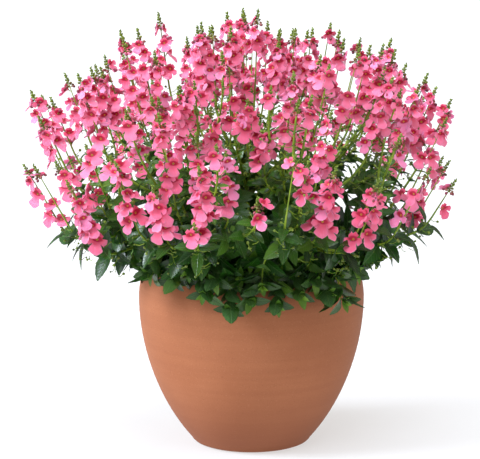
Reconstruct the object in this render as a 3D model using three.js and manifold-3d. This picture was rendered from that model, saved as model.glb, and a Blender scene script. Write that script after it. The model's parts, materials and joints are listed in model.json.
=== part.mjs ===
// A potted twinspur: an egg-shaped terracotta pot filled with compost, in which fourteen branching
// stems stand. Each stem carries leaves in opposite pairs, ends in a tapering spike of green buds, and
// bears its five-lobed flowers round the stretch below that spike. Side stems do the same.
// Millimetres, +Z up. The origin is the middle of the pot's underside.
import * as THREE from "three";
import { mergeVertices } from "three/addons/utils/BufferGeometryUtils.js";
import Module from "manifold-3d";

const wasm = await Module();
wasm.setup();

// Pot
const POT_HEIGHT = 184;
const FOOT_RADIUS = 53;
const HEEL = { radius: 61, height: 5 };
const BELLY = { radius: 113, height: 148 };
const HEEL_PULL = 45;
const HEEL_SLOPE = { out: 0.66, up: 0.75 };
const BELLY_PULL = 55;
const RIM_RADIUS = 106;
const WALL = 9;
const FLOOR = 12;
const POT_FACETS = 28;
const LOWER_WALL_STEPS = 6;
const UPPER_WALL_STEPS = 2;

// Compost: its sides stay clear of the pot's, and its top is a low uneven mound. The holes that the
// stems stand in are wider than the stems and go a little deeper.
const COMPOST_TOP = 163;
const COMPOST_MOUND = 5;
const COMPOST_FACETS = 20;
const COMPOST_LEVELS = [0.3, 0.6, 1];
const COMPOST_SHOULDER = { share: 0.6, up: 2 };
const COMPOST_WAVE = { height: 1.6, across: 0.13, along: 0.17 };
const COMPOST_INSET = 1.2;
const CLEARANCE = 0.3;
const STEM_DEPTH = 42;
const HOLE = { wider: 1, deeper: 0.5, above: 6 };

// Crown: the stems fan out from one point. The spike tips lie on a dome about it, whose sides are
// upright past the radius SIDE_OUT. The crown hangs over a little to -X.
const FAN_POINT = new THREE.Vector3(-13, 0, 150);
const REACH = 288;
const SIDE_OUT = 213;
const LEAN_SHARE = 0.52;
const RISE_SHARE = 0.8;
const ROOT_UP = 2;

// The stems stand in three rings. Angles in degrees: polar is measured from the vertical.
const RINGS = [
  { stems: 1, start: 38, polar: 3, base: 0, sides: [45, 135, 225, 315], sidePolar: 17 },
  { stems: 5, start: 15, polar: 27, base: 30, sides: [-20, 20], sidePolar: 36 },
  { stems: 8, start: -18, polar: 45, base: 60, sides: [-11.5, 11.5], sidePolar: 56 },
];

// How much further stems lean to the left and right than in a round crown, as a share. To the front
// and back they lean as much less.
const OVAL = 0.05;

// How far these angles, and the reach of a head in millimetres, vary from stem to stem
const SPREAD = { azimuth: 4, polar: 2, sideAzimuth: 2, sidePolar: 2.5, reach: 7 };

// Stem thickness, as the radius of its corners, and the steps in a stem's bend
const ROOT_RADIUS = 2.7;
const BURIED_SHARE = 0.8;
const SIDE_RADIUS = 1.8;
const AXIS_RADIUS = 0.95;
const STEM_SIDES = 3;
const MAIN_STEPS = 5;
const SIDE_STEPS = 3;
const BEND_PULL = 0.38;

// Flower head
const FLOWERS_MAIN = 7;
const FLOWERS_SIDE = 5;
const FLOWER_PITCH = 10;
const SLEEVE_INSIDE = 1.6;
const SLEEVE_OUTSIDE = 2.9;
const THROAT_OUT = 14;
const THROAT_OUT_TOP = 0.45;
const THROAT_UP = 1.5;
const THROAT_DEPTH = 2.6;
const FLOWER_SCALE = 1.45;
const FLOWER_VARIES = 0.06;
const TOP_FLOWER_SHARE = 0.6;
const NOD = 12;
const NOD_VARIES = 8;
const SWING = 10;

// Half of a flower's outline, seen from the front: across and up from the throat, with how far
// forward the point stands. Two small lobes above, one at each side and a broad lip below.
const FLOWER_HALF = [
  [5.2, -11.4, 1.6],
  [5.4, -3.4, -0.6],
  [10.2, 0.4, 0.6],
  [5.8, 3.8, -0.6],
  [4.2, 8.2, 0.8],
];

// The bud spike: height above the flowers and corner radius at each swelling and waist, to its tip
const SPIKE = [
  [1.5, 0.95],
  [4.5, 3.5],
  [9.5, 1.9],
  [13, 2.8],
  [25, 0.5],
];
const SPIKE_LENGTH = SPIKE.at(-1)[0];

// Half of a leaf's toothed outline for a leaf one unit long: along the rib, and out from it
const LEAF_HALF = [
  [0.27, 0.24],
  [0.55, 0.26],
  [0.6, 0.19],
];
const LEAF_FOLD = 0.22;
const LEAF_DROOP = 0.16;
const LEAF_RIB = 1.5;
const LEAF_RIB_AT = 0.42;
const LEAF_LENGTH = 35;
const LEAF_VARIES = 0.12;
const LEAF_ANGLE = 38;
const PAIR_TURN = { first: 30, next: 90, varies: 15 };
const LEAF_FOOT = 1.3;
const LEAF_GUARD = 1.06;

// The steps of a stem's bend that bear a pair of leaves, ring by ring, and on the low side stems.
// A leaf that meets a neighbour is turned about its stem, or shortened, until it is clear.
const LEAF_STEPS = [[2], [1, 2, 3], [1, 2]];
const SIDE_LEAF_STEP = 1;
const SIDE_LEAF_SHARE = 0.85;
const LEAF_TURNS = [0, 20, -20];
const LEAF_SIZES = [1, 0.8, 0.6];

// Where the side stems fork from the main one, and the soft shoots that hang over the rim
const FORK = 0.45;
const TWIG_START = 0.12;
const TWIG_OUT = 117;
const TWIG_OUT_VARIES = 3;
const TWIG_UP = 190;
const TWIG_UP_VARIES = 4;
const TWIG_CREST = 0.6;
const TWIG_LIFT = 12;
const TWIG_STEPS = 2;
const TWIG_TURNS = [-14, 1, 16];
const TWIG_RADIUS = 1.8;
const TWIG_TAPER = 0.3;
const TWIG_LEAF = { turn: 120, varies: 7, tilt: 22 };

const radians = THREE.MathUtils.degToRad;
const UP = new THREE.Vector3(0, 0, 1);

// Two ways closer to each other than this, as a sine, count as one when a way across is wanted.
const NEARLY_ONE_WAY = 0.08;

// How far apart two boxes have to be before the solids in them need no test.
const BOX_MARGIN = 0.5;

// A repeatable draw from -1 to 1 for the nth thing and the kind of draw. The kinds are numbers that
// only have to differ.
function draw(n, kind) {
  const wave = Math.sin(n * 12.9898 + kind * 78.233) * 43758.5453;
  return 2 * (wave - Math.floor(wave)) - 1;
}

function direction(azimuth, polar) {
  const a = radians(azimuth);
  const p = radians(polar);
  return new THREE.Vector3(Math.sin(p) * Math.cos(a), Math.sin(p) * Math.sin(a), Math.cos(p));
}

function geometryOf(points, triangles) {
  const geometry = new THREE.BufferGeometry();
  geometry.setAttribute("position", new THREE.Float32BufferAttribute(points.flat(), 3));
  geometry.setIndex(triangles.flat());
  return geometry;
}

function solidOf(geometry) {
  const bare = geometry.clone();
  bare.deleteAttribute("normal");
  bare.deleteAttribute("uv");
  const merged = mergeVertices(bare, 1e-4);
  return new wasm.Manifold(
    new wasm.Mesh({
      numProp: 3,
      vertProperties: new Float32Array(merged.attributes.position.array),
      triVerts: new Uint32Array(merged.index.array),
    }),
  );
}

function geometryFrom(solid) {
  const mesh = solid.getMesh();
  const geometry = new THREE.BufferGeometry();
  geometry.setAttribute("position", new THREE.BufferAttribute(mesh.vertProperties, 3));
  geometry.setIndex(new THREE.BufferAttribute(mesh.triVerts, 1));
  geometry.computeVertexNormals();
  return geometry;
}

// The pot's outer wall: one curve from the heel to the belly and one from there to the rim.
function potWall() {
  const lower = new THREE.CubicBezierCurve(
    new THREE.Vector2(HEEL.radius, HEEL.height),
    new THREE.Vector2(
      HEEL.radius + HEEL_PULL * HEEL_SLOPE.out,
      HEEL.height + HEEL_PULL * HEEL_SLOPE.up,
    ),
    new THREE.Vector2(BELLY.radius, BELLY.height - BELLY_PULL),
    new THREE.Vector2(BELLY.radius, BELLY.height),
  );
  const lip = WALL / 2;
  const upper = new THREE.QuadraticBezierCurve(
    new THREE.Vector2(BELLY.radius, BELLY.height),
    new THREE.Vector2(BELLY.radius, BELLY.height + (POT_HEIGHT - lip - BELLY.height) * 0.5),
    new THREE.Vector2(RIM_RADIUS, POT_HEIGHT - lip),
  );
  return [...lower.getPoints(LOWER_WALL_STEPS), ...upper.getPoints(UPPER_WALL_STEPS).slice(1)];
}

function potGeometry() {
  const outside = potWall();
  const lipTop = new THREE.Vector2(RIM_RADIUS - WALL / 2, POT_HEIGHT);
  const inside = outside
    .filter((p) => p.y > FLOOR + WALL)
    .map((p) => new THREE.Vector2(p.x - WALL, p.y))
    .reverse();
  const profile = [
    new THREE.Vector2(0, 0),
    new THREE.Vector2(FOOT_RADIUS, 0),
    ...outside,
    lipTop,
    ...inside,
    new THREE.Vector2(HEEL.radius - WALL, FLOOR),
    new THREE.Vector2(0, FLOOR),
  ];
  return new THREE.LatheGeometry(profile, POT_FACETS).rotateX(Math.PI / 2);
}

function innerRadius(height) {
  const wall = potWall();
  const above = wall.findIndex((p) => p.y >= height);
  const [low, high] = [wall[above - 1], wall[above]];
  const share = (height - low.y) / (high.y - low.y);
  return low.x + (high.x - low.x) * share - WALL;
}

// The compost fills the pot, a little clear of it, with a low uneven mound on top.
function compostSolid(holes) {
  const profile = [
    new THREE.Vector2(0, FLOOR + CLEARANCE),
    new THREE.Vector2(HEEL.radius - WALL - COMPOST_INSET, FLOOR + CLEARANCE),
    ...COMPOST_LEVELS.map((share) => {
      const z = share * COMPOST_TOP;
      return new THREE.Vector2(innerRadius(z) - COMPOST_INSET, z);
    }),
    new THREE.Vector2(
      COMPOST_SHOULDER.share * innerRadius(COMPOST_TOP),
      COMPOST_TOP + COMPOST_SHOULDER.up,
    ),
    new THREE.Vector2(0, COMPOST_TOP + COMPOST_MOUND),
  ];
  const geometry = new THREE.LatheGeometry(profile, COMPOST_FACETS).rotateX(Math.PI / 2);
  const corner = geometry.attributes.position;
  const { height, across, along } = COMPOST_WAVE;
  for (let i = 0; i < corner.count; i++) {
    const [x, y, z] = [corner.getX(i), corner.getY(i), corner.getZ(i)];
    const wave = height * Math.sin(x * across) * Math.cos(y * along);
    if (z > COMPOST_TOP + COMPOST_SHOULDER.up / 2) corner.setZ(i, z + wave);
  }
  return holes.reduce((soil, hole) => soil.subtract(hole), solidOf(geometry));
}

// A leaf's points past its foot: its outline from one side of the foot round the tip to the other,
// then the top and the underside of its thick rib.
function leafPoints({ root, along, upper, length }) {
  const half = LEAF_HALF.map(([x, y]) => [x, y, LEAF_FOLD * y - LEAF_DROOP * x * x]);
  const ribTop = -LEAF_DROOP * LEAF_RIB_AT ** 2;
  const local = [
    ...half.map(([x, y, z]) => [x, -y, z]),
    [1, 0, -LEAF_DROOP],
    ...half.toReversed(),
    [LEAF_RIB_AT, 0, ribTop],
    [LEAF_RIB_AT, 0, ribTop - LEAF_RIB / length],
  ];
  const side = new THREE.Vector3().crossVectors(upper, along).normalize();
  const top = new THREE.Vector3().crossVectors(along, side).normalize();
  return local.map(([x, y, z]) =>
    root
      .clone()
      .addScaledVector(along, x * length)
      .addScaledVector(side, y * length)
      .addScaledVector(top, z * length),
  );
}

// The leaf by itself, a little large, to try whether it is clear of its neighbours.
function leafGuard(leaf) {
  const points = leafPoints({ ...leaf, length: leaf.length * LEAF_GUARD });
  const rim = points.length - 2;
  const foot = points.push(leaf.root) - 1;
  const triangles = [];
  for (let i = 0; i <= rim; i++) {
    const [here, next] = [i === 0 ? foot : i - 1, i === rim ? foot : i];
    triangles.push([here, next, rim], [next, here, rim + 1]);
  }
  return solidOf(geometryOf(points.map((p) => p.toArray()), triangles));
}

function cornerAngle(k) {
  return ((2 * k + 1) * Math.PI) / STEM_SIDES;
}

// A tube through a list of knots, each with its point, corner radius and leaves. A knot with leaves
// is a short band, and each of them grows out of the facet of that band which faces its way. The
// corners keep in line with the frame that the tube ends in, so that a flower head fits round it.
function tubeSolid(knots, endRight) {
  const points = [];
  const triangles = [];
  const ringAt = (centre, radius, right, way) => {
    const side = new THREE.Vector3().crossVectors(way, right);
    return Array.from({ length: STEM_SIDES }, (_, k) => {
      const angle = cornerAngle(k);
      const corner = centre.clone().addScaledVector(right, radius * Math.cos(angle));
      return points.push(corner.addScaledVector(side, radius * Math.sin(angle)).toArray()) - 1;
    });
  };
  const bandOf = (low, high, leaves) => {
    const taken = facetLeaves(leaves, low, points);
    for (let k = 0; k < STEM_SIDES; k++) {
      const next = (k + 1) % STEM_SIDES;
      const [a, b, c, d] = [low[k], low[next], high[next], high[k]];
      if (taken[k]) growLeaf(a, b, c, d, taken[k]);
      else triangles.push([a, b, c], [a, c, d]);
    }
  };
  const growLeaf = (a, b, c, d, leaf) => {
    const first = points.length;
    points.push(...leafPoints(leaf).map((p) => p.toArray()));
    const [under, top] = [points.length - 1, points.length - 2];
    const last = top - 1;
    for (let i = first; i < last; i++) triangles.push([i, i + 1, top], [i + 1, i, under]);
    triangles.push([last, c, top], [c, d, top], [d, first, top]);
    triangles.push([b, last, under], [a, b, under], [first, a, under]);
    triangles.push([b, c, last], [d, a, first]);
  };
  const right = endRight.clone();
  let above = null;
  for (let i = knots.length - 1; i >= 0; i--) {
    const { point, radius, leaves = [] } = knots[i];
    const way = new THREE.Vector3()
      .subVectors(knots[Math.min(i + 1, knots.length - 1)].point, knots[Math.max(i - 1, 0)].point)
      .normalize();
    right.addScaledVector(way, -right.dot(way)).normalize();
    const foot = leaves.length ? LEAF_FOOT : 0;
    const high = ringAt(point.clone().addScaledVector(way, foot), radius, right, way);
    if (above) bandOf(high, above, []);
    else triangles.push([high[0], high[1], high[2]]);
    above = high;
    if (leaves.length) {
      above = ringAt(point.clone().addScaledVector(way, -foot), radius, right, way);
      bandOf(above, high, leaves);
    }
  }
  triangles.push([above[2], above[1], above[0]]);
  return solidOf(geometryOf(points, triangles));
}

// Which leaf grows from which facet of a band: each takes the free one that best faces its way.
function facetLeaves(leaves, ring, points) {
  const corners = ring.map((index) => new THREE.Vector3(...points[index]));
  const centre = corners[0].clone().add(corners[1]).add(corners[2]).divideScalar(STEM_SIDES);
  const facing = corners.map((corner, k) =>
    corner.clone().add(corners[(k + 1) % STEM_SIDES]).divideScalar(2).sub(centre).normalize(),
  );
  const taken = [];
  for (const leaf of leaves) {
    const free = [0, 1, 2].filter((k) => !taken[k]);
    free.sort((j, k) => facing[k].dot(leaf.along) - facing[j].dot(leaf.along));
    taken[free[0]] = leaf;
  }
  return taken;
}

// The frame at the foot of a flower head: where it is, the way its axis runs and one way across.
function headFrame(tip, lean, count) {
  const length = count * FLOWER_PITCH;
  const foot = tip.clone().addScaledVector(lean, -(length + SPIKE_LENGTH));
  const across = new THREE.Vector3().crossVectors(UP, lean);
  if (across.length() < NEARLY_ONE_WAY) across.set(0, 1, 0);
  across.normalize();
  const right = new THREE.Vector3().crossVectors(across, lean).normalize();
  return { foot, lean, right, length, count };
}

// A stem's way from its root, setting out along rise, to the foot of its flower head.
function stemPath(root, rise, head, steps) {
  const pull = root.distanceTo(head.foot) * BEND_PULL;
  return new THREE.CubicBezierCurve3(
    root,
    root.clone().addScaledVector(rise, pull),
    head.foot.clone().addScaledVector(head.lean, -pull),
    head.foot,
  ).getPoints(steps);
}

function onPath(path, share) {
  const at = share * (path.length - 1);
  const step = Math.floor(at);
  return path[step].clone().lerp(path[step + 1], at - step);
}

// A stem: along its path, then straight through its flower head and on into the bud spike.
function stemSolid({ path, head, thick, buried, leaves }) {
  const knots = path.map((point, i) => ({
    point,
    radius: thick + ((AXIS_RADIUS - thick) * i) / (path.length - 1),
    leaves: leaves.filter((leaf) => leaf.step === i),
  }));
  if (buried) {
    const end = path[0].clone().addScaledVector(UP, -STEM_DEPTH);
    knots.unshift({ point: end, radius: thick * BURIED_SHARE });
  }
  for (const [height, radius] of SPIKE) {
    const point = head.foot.clone().addScaledVector(head.lean, head.length + height);
    knots.push({ point, radius });
  }
  return tubeSolid(knots, head.right);
}

// A soft side shoot that hangs over the rim. Three leaves are spread round its end.
function twigSolid({ path, leaves }) {
  const knots = path.map((point, i) => ({
    point,
    radius: TWIG_RADIUS * (1 - (TWIG_TAPER * i) / TWIG_STEPS),
    leaves: leaves.filter((leaf) => leaf.step === i),
  }));
  return tubeSolid(knots, UP);
}

// A flower head: a slim three-sided sleeve round the stem, with a flower drawn out of one of its
// facets at each step. The flowers shrink towards the buds.
function headGeometry(count, n) {
  const points = [];
  const triangles = [];
  const add = (x, y, z) => points.push([x, y, z]) - 1;
  const ring = (radius, z) =>
    Array.from({ length: STEM_SIDES }, (_, k) => {
      const angle = cornerAngle(k);
      return add(radius * Math.cos(angle), radius * Math.sin(angle), z);
    });
  const outer = [];
  for (let i = 0; i <= count; i++) outer.push(ring(SLEEVE_OUTSIDE, i * FLOWER_PITCH));
  for (let i = 0; i < count; i++)
    for (let k = 0; k < STEM_SIDES; k++) {
      const left = (k + STEM_SIDES - 1) % STEM_SIDES;
      const base = [outer[i][left], outer[i][k], outer[i + 1][k], outer[i + 1][left]];
      if (k === i % STEM_SIDES) drawFlower(base, i, k);
      else triangles.push([base[0], base[1], base[2]], [base[0], base[2], base[3]]);
    }
  const low = ring(SLEEVE_INSIDE, 0);
  const high = ring(SLEEVE_INSIDE, count * FLOWER_PITCH);
  for (let k = 0; k < STEM_SIDES; k++) {
    const next = (k + 1) % STEM_SIDES;
    triangles.push([low[next], low[k], high[k]], [low[next], high[k], high[next]]);
    triangles.push([outer[0][next], outer[0][k], low[k]], [outer[0][next], low[k], low[next]]);
    const [a, b] = [outer[count][k], outer[count][next]];
    triangles.push([a, b, high[next]], [a, high[next], high[k]]);
  }

  function drawFlower(base, i, k) {
    const share = 1 + ((TOP_FLOWER_SHARE - 1) * i) / (count - 1);
    const size = FLOWER_SCALE * share * (1 + FLOWER_VARIES * draw(n + i * 7, 1));
    const facing = radians((360 * k) / STEM_SIDES + SWING * draw(n + i * 5, 2));
    const nod = radians(NOD + NOD_VARIES * draw(n + i * 3, 3));
    const radial = new THREE.Vector3(Math.cos(facing), Math.sin(facing), 0);
    const across = new THREE.Vector3(-Math.sin(facing), Math.cos(facing), 0);
    const face = radial.clone().multiplyScalar(Math.cos(nod)).addScaledVector(UP, -Math.sin(nod));
    const rise = new THREE.Vector3().crossVectors(face, across);
    const out = THROAT_OUT * (THROAT_OUT_TOP + (1 - THROAT_OUT_TOP) * share);
    const throat = radial.clone().multiplyScalar(out);
    throat.addScaledVector(UP, (i + 0.5) * FLOWER_PITCH + THROAT_UP);
    const outline = [...FLOWER_HALF, ...FLOWER_HALF.map(([u, v, w]) => [-u, v, w]).reverse()];
    const rim = outline.map(([u, v, w]) => {
      const p = throat.clone().addScaledVector(across, u * size);
      p.addScaledVector(rise, v * size).addScaledVector(face, w * size);
      return { angle: Math.atan2(v, u), index: add(...p.toArray()) };
    });
    rim.sort((a, b) => a.angle - b.angle);
    const deep = throat.clone().addScaledVector(face, -THROAT_DEPTH * size);
    const centre = add(...deep.toArray());
    const root = base.map((index, j) => ({ angle: radians(-135 + 90 * j), index }));
    let [a, b] = [0, 0];
    const turn = (list, j) => list[j % list.length].angle + 2 * Math.PI * Math.floor(j / list.length);
    while (a < root.length || b < rim.length) {
      const [here, there] = [root[a % root.length].index, rim[b % rim.length].index];
      if (turn(rim, b + 1) < turn(root, a + 1)) {
        triangles.push([here, rim[(b + 1) % rim.length].index, there]);
        b += 1;
      } else {
        triangles.push([here, root[(a + 1) % root.length].index, there]);
        a += 1;
      }
    }
    rim.forEach((point, j) => {
      triangles.push([point.index, rim[(j + 1) % rim.length].index, centre]);
    });
  }

  return geometryOf(points, triangles);
}

// A pair of leaves at a step of a stem's path, a quarter turn on from the pair a step below.
function leafPair(path, step, length, seed) {
  const upper = new THREE.Vector3().subVectors(path[step + 1], path[step - 1]).normalize();
  const level = new THREE.Vector3().crossVectors(upper, UP);
  if (level.length() < NEARLY_ONE_WAY) level.set(0, 1, 0);
  const turn = PAIR_TURN.first + PAIR_TURN.next * (step % 2) + PAIR_TURN.varies * draw(seed, 40 + step);
  level.normalize().applyAxisAngle(upper, radians(turn));
  return [1, -1].map((sign) => {
    const along = level.clone().multiplyScalar(sign * Math.cos(radians(LEAF_ANGLE)));
    along.addScaledVector(upper, Math.sin(radians(LEAF_ANGLE))).normalize();
    const size = 1 + LEAF_VARIES * draw(seed, 44 + sign);
    return { step, root: path[step], upper, along, length: length * size };
  });
}

function mainStem(stem) {
  const rise = direction(stem.azimuth, stem.polar * RISE_SHARE);
  const path = stemPath(stem.root, rise, stem.heads[0], MAIN_STEPS);
  const leaves = LEAF_STEPS[stem.ring].flatMap((step) => leafPair(path, step, LEAF_LENGTH, stem.n + step));
  return { shape: stemSolid, path, head: stem.heads[0], thick: ROOT_RADIUS, buried: true, leaves };
}

function sideStem(stem, head, seed) {
  const fork = onPath(stem.limbs[0].path, FORK);
  const away = new THREE.Vector3().subVectors(head.foot, fork).normalize();
  const path = stemPath(fork, away, head, SIDE_STEPS);
  const leafy = stem.ring === RINGS.length - 1;
  const leaves = leafy ? leafPair(path, SIDE_LEAF_STEP, LEAF_LENGTH * SIDE_LEAF_SHARE, seed) : [];
  return { shape: stemSolid, path, head, thick: SIDE_RADIUS, buried: false, leaves };
}

function twig(stem, offset) {
  const azimuth = stem.azimuth + offset;
  const start = onPath(stem.limbs[0].path, TWIG_START);
  const out = TWIG_OUT + TWIG_OUT_VARIES * draw(stem.n, 30 + offset);
  const end = direction(azimuth, 90).multiplyScalar(out);
  end.z = TWIG_UP + TWIG_UP_VARIES * draw(stem.n, 31 + offset);
  const over = start.clone().lerp(end, TWIG_CREST).addScaledVector(UP, TWIG_LIFT);
  const path = new THREE.QuadraticBezierCurve3(start, over, end).getPoints(TWIG_STEPS);
  const way = new THREE.Vector3().subVectors(end, path[TWIG_STEPS - 1]).normalize();
  const top = UP.clone().addScaledVector(way, -UP.dot(way)).normalize();
  const leaves = [0, 1, 2].map((j) => {
    const turn = j * TWIG_LEAF.turn + TWIG_LEAF.varies * draw(stem.n + offset, 50 + j);
    const along = top.clone().applyAxisAngle(way, radians(turn));
    along.multiplyScalar(Math.cos(radians(TWIG_LEAF.tilt)));
    along.addScaledVector(way, Math.sin(radians(TWIG_LEAF.tilt)));
    return { step: TWIG_STEPS, root: end, upper: way, along, length: LEAF_LENGTH };
  });
  return { shape: twigSolid, path, leaves };
}

function ovalPolar(azimuth, polar) {
  return polar * (1 + OVAL * Math.cos(2 * radians(azimuth)));
}

// Where everything in the crown grows. Angles and reach vary a little from stem to stem.
function crownPlan() {
  const stems = [];
  RINGS.forEach((ringPlan, r) => {
    for (let s = 0; s < ringPlan.stems; s++) {
      const n = stems.length + 1;
      const azimuth = ringPlan.start + (360 * s) / ringPlan.stems + SPREAD.azimuth * draw(n, 4);
      const polar = ovalPolar(azimuth, ringPlan.polar + SPREAD.polar * draw(n, 5));
      const main = { azimuth, polar, count: FLOWERS_MAIN };
      const sides = ringPlan.sides.map((offset, j) => {
        const around = azimuth + offset + SPREAD.sideAzimuth * draw(n, 10 + j);
        const lean = ringPlan.sidePolar + SPREAD.sidePolar * draw(n, 14 + j);
        return { azimuth: around, polar: ovalPolar(around, lean), count: FLOWERS_SIDE };
      });
      const heads = [main, ...sides].map((head, j) => {
        const full = Math.min(REACH, SIDE_OUT / Math.sin(radians(head.polar)));
        const reach = full + SPREAD.reach * draw(n, 20 + j);
        const tip = FAN_POINT.clone().addScaledVector(direction(head.azimuth, head.polar), reach);
        return headFrame(tip, direction(head.azimuth, head.polar * LEAN_SHARE), head.count);
      });
      const root = direction(azimuth, 90).multiplyScalar(ringPlan.base);
      root.z = COMPOST_TOP + COMPOST_MOUND + ROOT_UP;
      const stem = { n, ring: r, azimuth, polar, root, heads };
      stem.limbs = [mainStem(stem)];
      heads.slice(1).forEach((head, j) => stem.limbs.push(sideStem(stem, head, n + 20 * (j + 1))));
      if (r === RINGS.length - 1) TWIG_TURNS.forEach((turn) => stem.limbs.push(twig(stem, turn)));
      stems.push(stem);
    }
  });
  return stems;
}

function wholeStem(limbs) {
  return limbs.map((limb) => limb.shape(limb)).reduce((all, limb) => all.add(limb));
}

function crosses(blade, others) {
  const a = blade.boundingBox();
  return others.some(({ solid }) => {
    const b = solid.boundingBox();
    const gap = (k) => Math.max(a.min[k] - b.max[k], b.min[k] - a.max[k]);
    const apart = Math.max(gap(0), gap(1), gap(2)) > BOX_MARGIN;
    return !apart && solid.intersect(blade).volume() > 0;
  });
}

// The largest leaf that is clear of the others in one of its turns, or nothing where none is.
function clearLeaf(leaf, others) {
  const tries = LEAF_SIZES.flatMap((share) => LEAF_TURNS.map((turn) => ({ share, turn })));
  for (const { share, turn } of tries) {
    const along = leaf.along.clone().applyAxisAngle(leaf.upper, radians(turn));
    const tried = { ...leaf, along, length: leaf.length * share };
    if (!crosses(leafGuard(tried), others)) return [tried];
  }
  return [];
}

const stems = crownPlan();
const heads = stems.flatMap((stem) =>
  stem.heads.map((head, j) => {
    const geometry = headGeometry(head.count, stem.n * 9 + j);
    const front = new THREE.Vector3().crossVectors(head.lean, head.right);
    const basis = new THREE.Matrix4().makeBasis(head.right, front, head.lean);
    const turn = new THREE.Quaternion().setFromRotationMatrix(basis);
    const placed = geometry.clone().applyQuaternion(turn).translate(...head.foot.toArray());
    return { name: `flowers_${stem.n}_${j}`, geometry, turn, foot: head.foot, solid: solidOf(placed) };
  }),
);
const holes = stems.map((stem) => {
  const knots = [-STEM_DEPTH - HOLE.deeper, HOLE.above].map((height) => ({
    point: stem.root.clone().addScaledVector(UP, height),
    radius: ROOT_RADIUS + HOLE.wider,
  }));
  return tubeSolid(knots, stem.heads[0].right);
});
const compost = compostSolid(holes);
const filledPot = [{ solid: solidOf(potGeometry()) }, { solid: compost }];

for (const stem of stems) {
  stem.solid = wholeStem(stem.limbs.map((limb) => ({ ...limb, leaves: [] })));
}
for (const stem of stems) {
  const others = [...stems.filter((other) => other !== stem), ...heads, ...filledPot];
  for (const limb of stem.limbs) {
    limb.leaves = limb.leaves.flatMap((leaf) => clearLeaf(leaf, others));
  }
  stem.solid = wholeStem(stem.limbs);
}

const group = new THREE.Group();
const clay = new THREE.MeshStandardMaterial({ color: 0xb4714f, roughness: 0.85, metalness: 0 });
const earth = new THREE.MeshStandardMaterial({ color: 0x2e2018, roughness: 0.95, metalness: 0 });
const green = new THREE.MeshStandardMaterial({ color: 0x3d6b2a, roughness: 0.6, metalness: 0 });
const pink = new THREE.MeshStandardMaterial({ color: 0xee6f93, roughness: 0.55, metalness: 0 });

function place(name, geometry, material) {
  const mesh = new THREE.Mesh(geometry, material);
  mesh.name = name;
  group.add(mesh);
  return mesh;
}

place("pot", potGeometry(), clay);
place("compost", geometryFrom(compost), earth);
for (const stem of stems) place(`stem_${stem.n}`, geometryFrom(stem.solid), green);
for (const head of heads) {
  const mesh = place(head.name, head.geometry, pink);
  mesh.quaternion.copy(head.turn);
  mesh.position.copy(head.foot);
}

export default group;
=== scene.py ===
import json
import math

import bmesh
import bpy
from mathutils import Matrix, Quaternion, Vector, noise

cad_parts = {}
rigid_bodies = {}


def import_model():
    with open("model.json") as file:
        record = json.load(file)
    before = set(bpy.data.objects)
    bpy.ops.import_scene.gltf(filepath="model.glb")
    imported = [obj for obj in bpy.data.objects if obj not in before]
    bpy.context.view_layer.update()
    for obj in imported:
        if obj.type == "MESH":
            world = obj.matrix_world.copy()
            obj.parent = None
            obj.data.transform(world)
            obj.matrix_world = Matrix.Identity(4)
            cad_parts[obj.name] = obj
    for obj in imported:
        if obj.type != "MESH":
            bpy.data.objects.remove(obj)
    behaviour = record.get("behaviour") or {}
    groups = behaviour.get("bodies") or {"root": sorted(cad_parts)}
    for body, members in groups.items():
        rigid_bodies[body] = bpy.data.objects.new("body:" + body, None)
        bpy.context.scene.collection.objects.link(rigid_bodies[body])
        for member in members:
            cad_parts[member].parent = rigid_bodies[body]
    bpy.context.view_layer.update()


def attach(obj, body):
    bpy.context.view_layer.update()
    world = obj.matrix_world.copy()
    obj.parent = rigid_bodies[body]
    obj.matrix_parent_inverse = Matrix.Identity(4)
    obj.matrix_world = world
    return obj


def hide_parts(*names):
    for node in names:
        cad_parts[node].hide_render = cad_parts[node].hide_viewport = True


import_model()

MM = 0.001
UP = Vector((0, 0, 1))
GOLDEN_ANGLE = 137.5

# Pot. The heel's round is given as how far outside the foot and how high each of its points lies.
POT_HEIGHT = 184
FOOT_RADIUS = 53
HEEL_RADIUS = 61
HEEL_HEIGHT = 5
HEEL_ROUND = ((2.5, 0.25), (5, 1.3), (6.8, 3.0))
BELLY_RADIUS = 113
BELLY_HEIGHT = 148
HEEL_PULL = 45
HEEL_SLOPE = (0.66, 0.75)
BELLY_PULL = 55
RIM_RADIUS = 106
WALL = 9
POT_FLOOR = 12
INSIDE_ROUND = (6, 4)
POT_SEGMENTS = 120
WALL_STEPS = 48
LIP_STEPS = 14
BAND_DEPTH = 0.1
BAND_PITCH = 5.5
WOBBLE = 0.25

# Compost
COMPOST_TOP = 163
COMPOST_MOUND = 5
COMPOST_GAP = 1.2
COMPOST_SEGMENTS = 72
COMPOST_LUMPS = 2.2
COMPOST_LEVELS = (40, 70, 100, 130, 150, COMPOST_TOP - 1)
COMPOST_RINGS = 26
COMPOST_SHOULDER = 1.5

# Crown, as the solids have it: the stems fan out from one point, and the tips of their spikes lie
# on a dome about it whose sides are upright past the radius SIDE_OUT.
FAN_POINT = Vector((-13, 0, 150))
REACH = 288
SIDE_OUT = 213
OVAL = 0.05
LEAN_SHARE = 0.52
OUTWARD_POLAR = 40
RISE_SHARE = 0.8
ROOT_UP = 2
STEM_DEPTH = 42
FORK = 0.45
BEND_PULL = 0.38
SPIKE_LENGTH = 25
FLOWER_PITCH = 10
FLOWERS_MAIN = 7
FLOWERS_SIDE = 5

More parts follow.
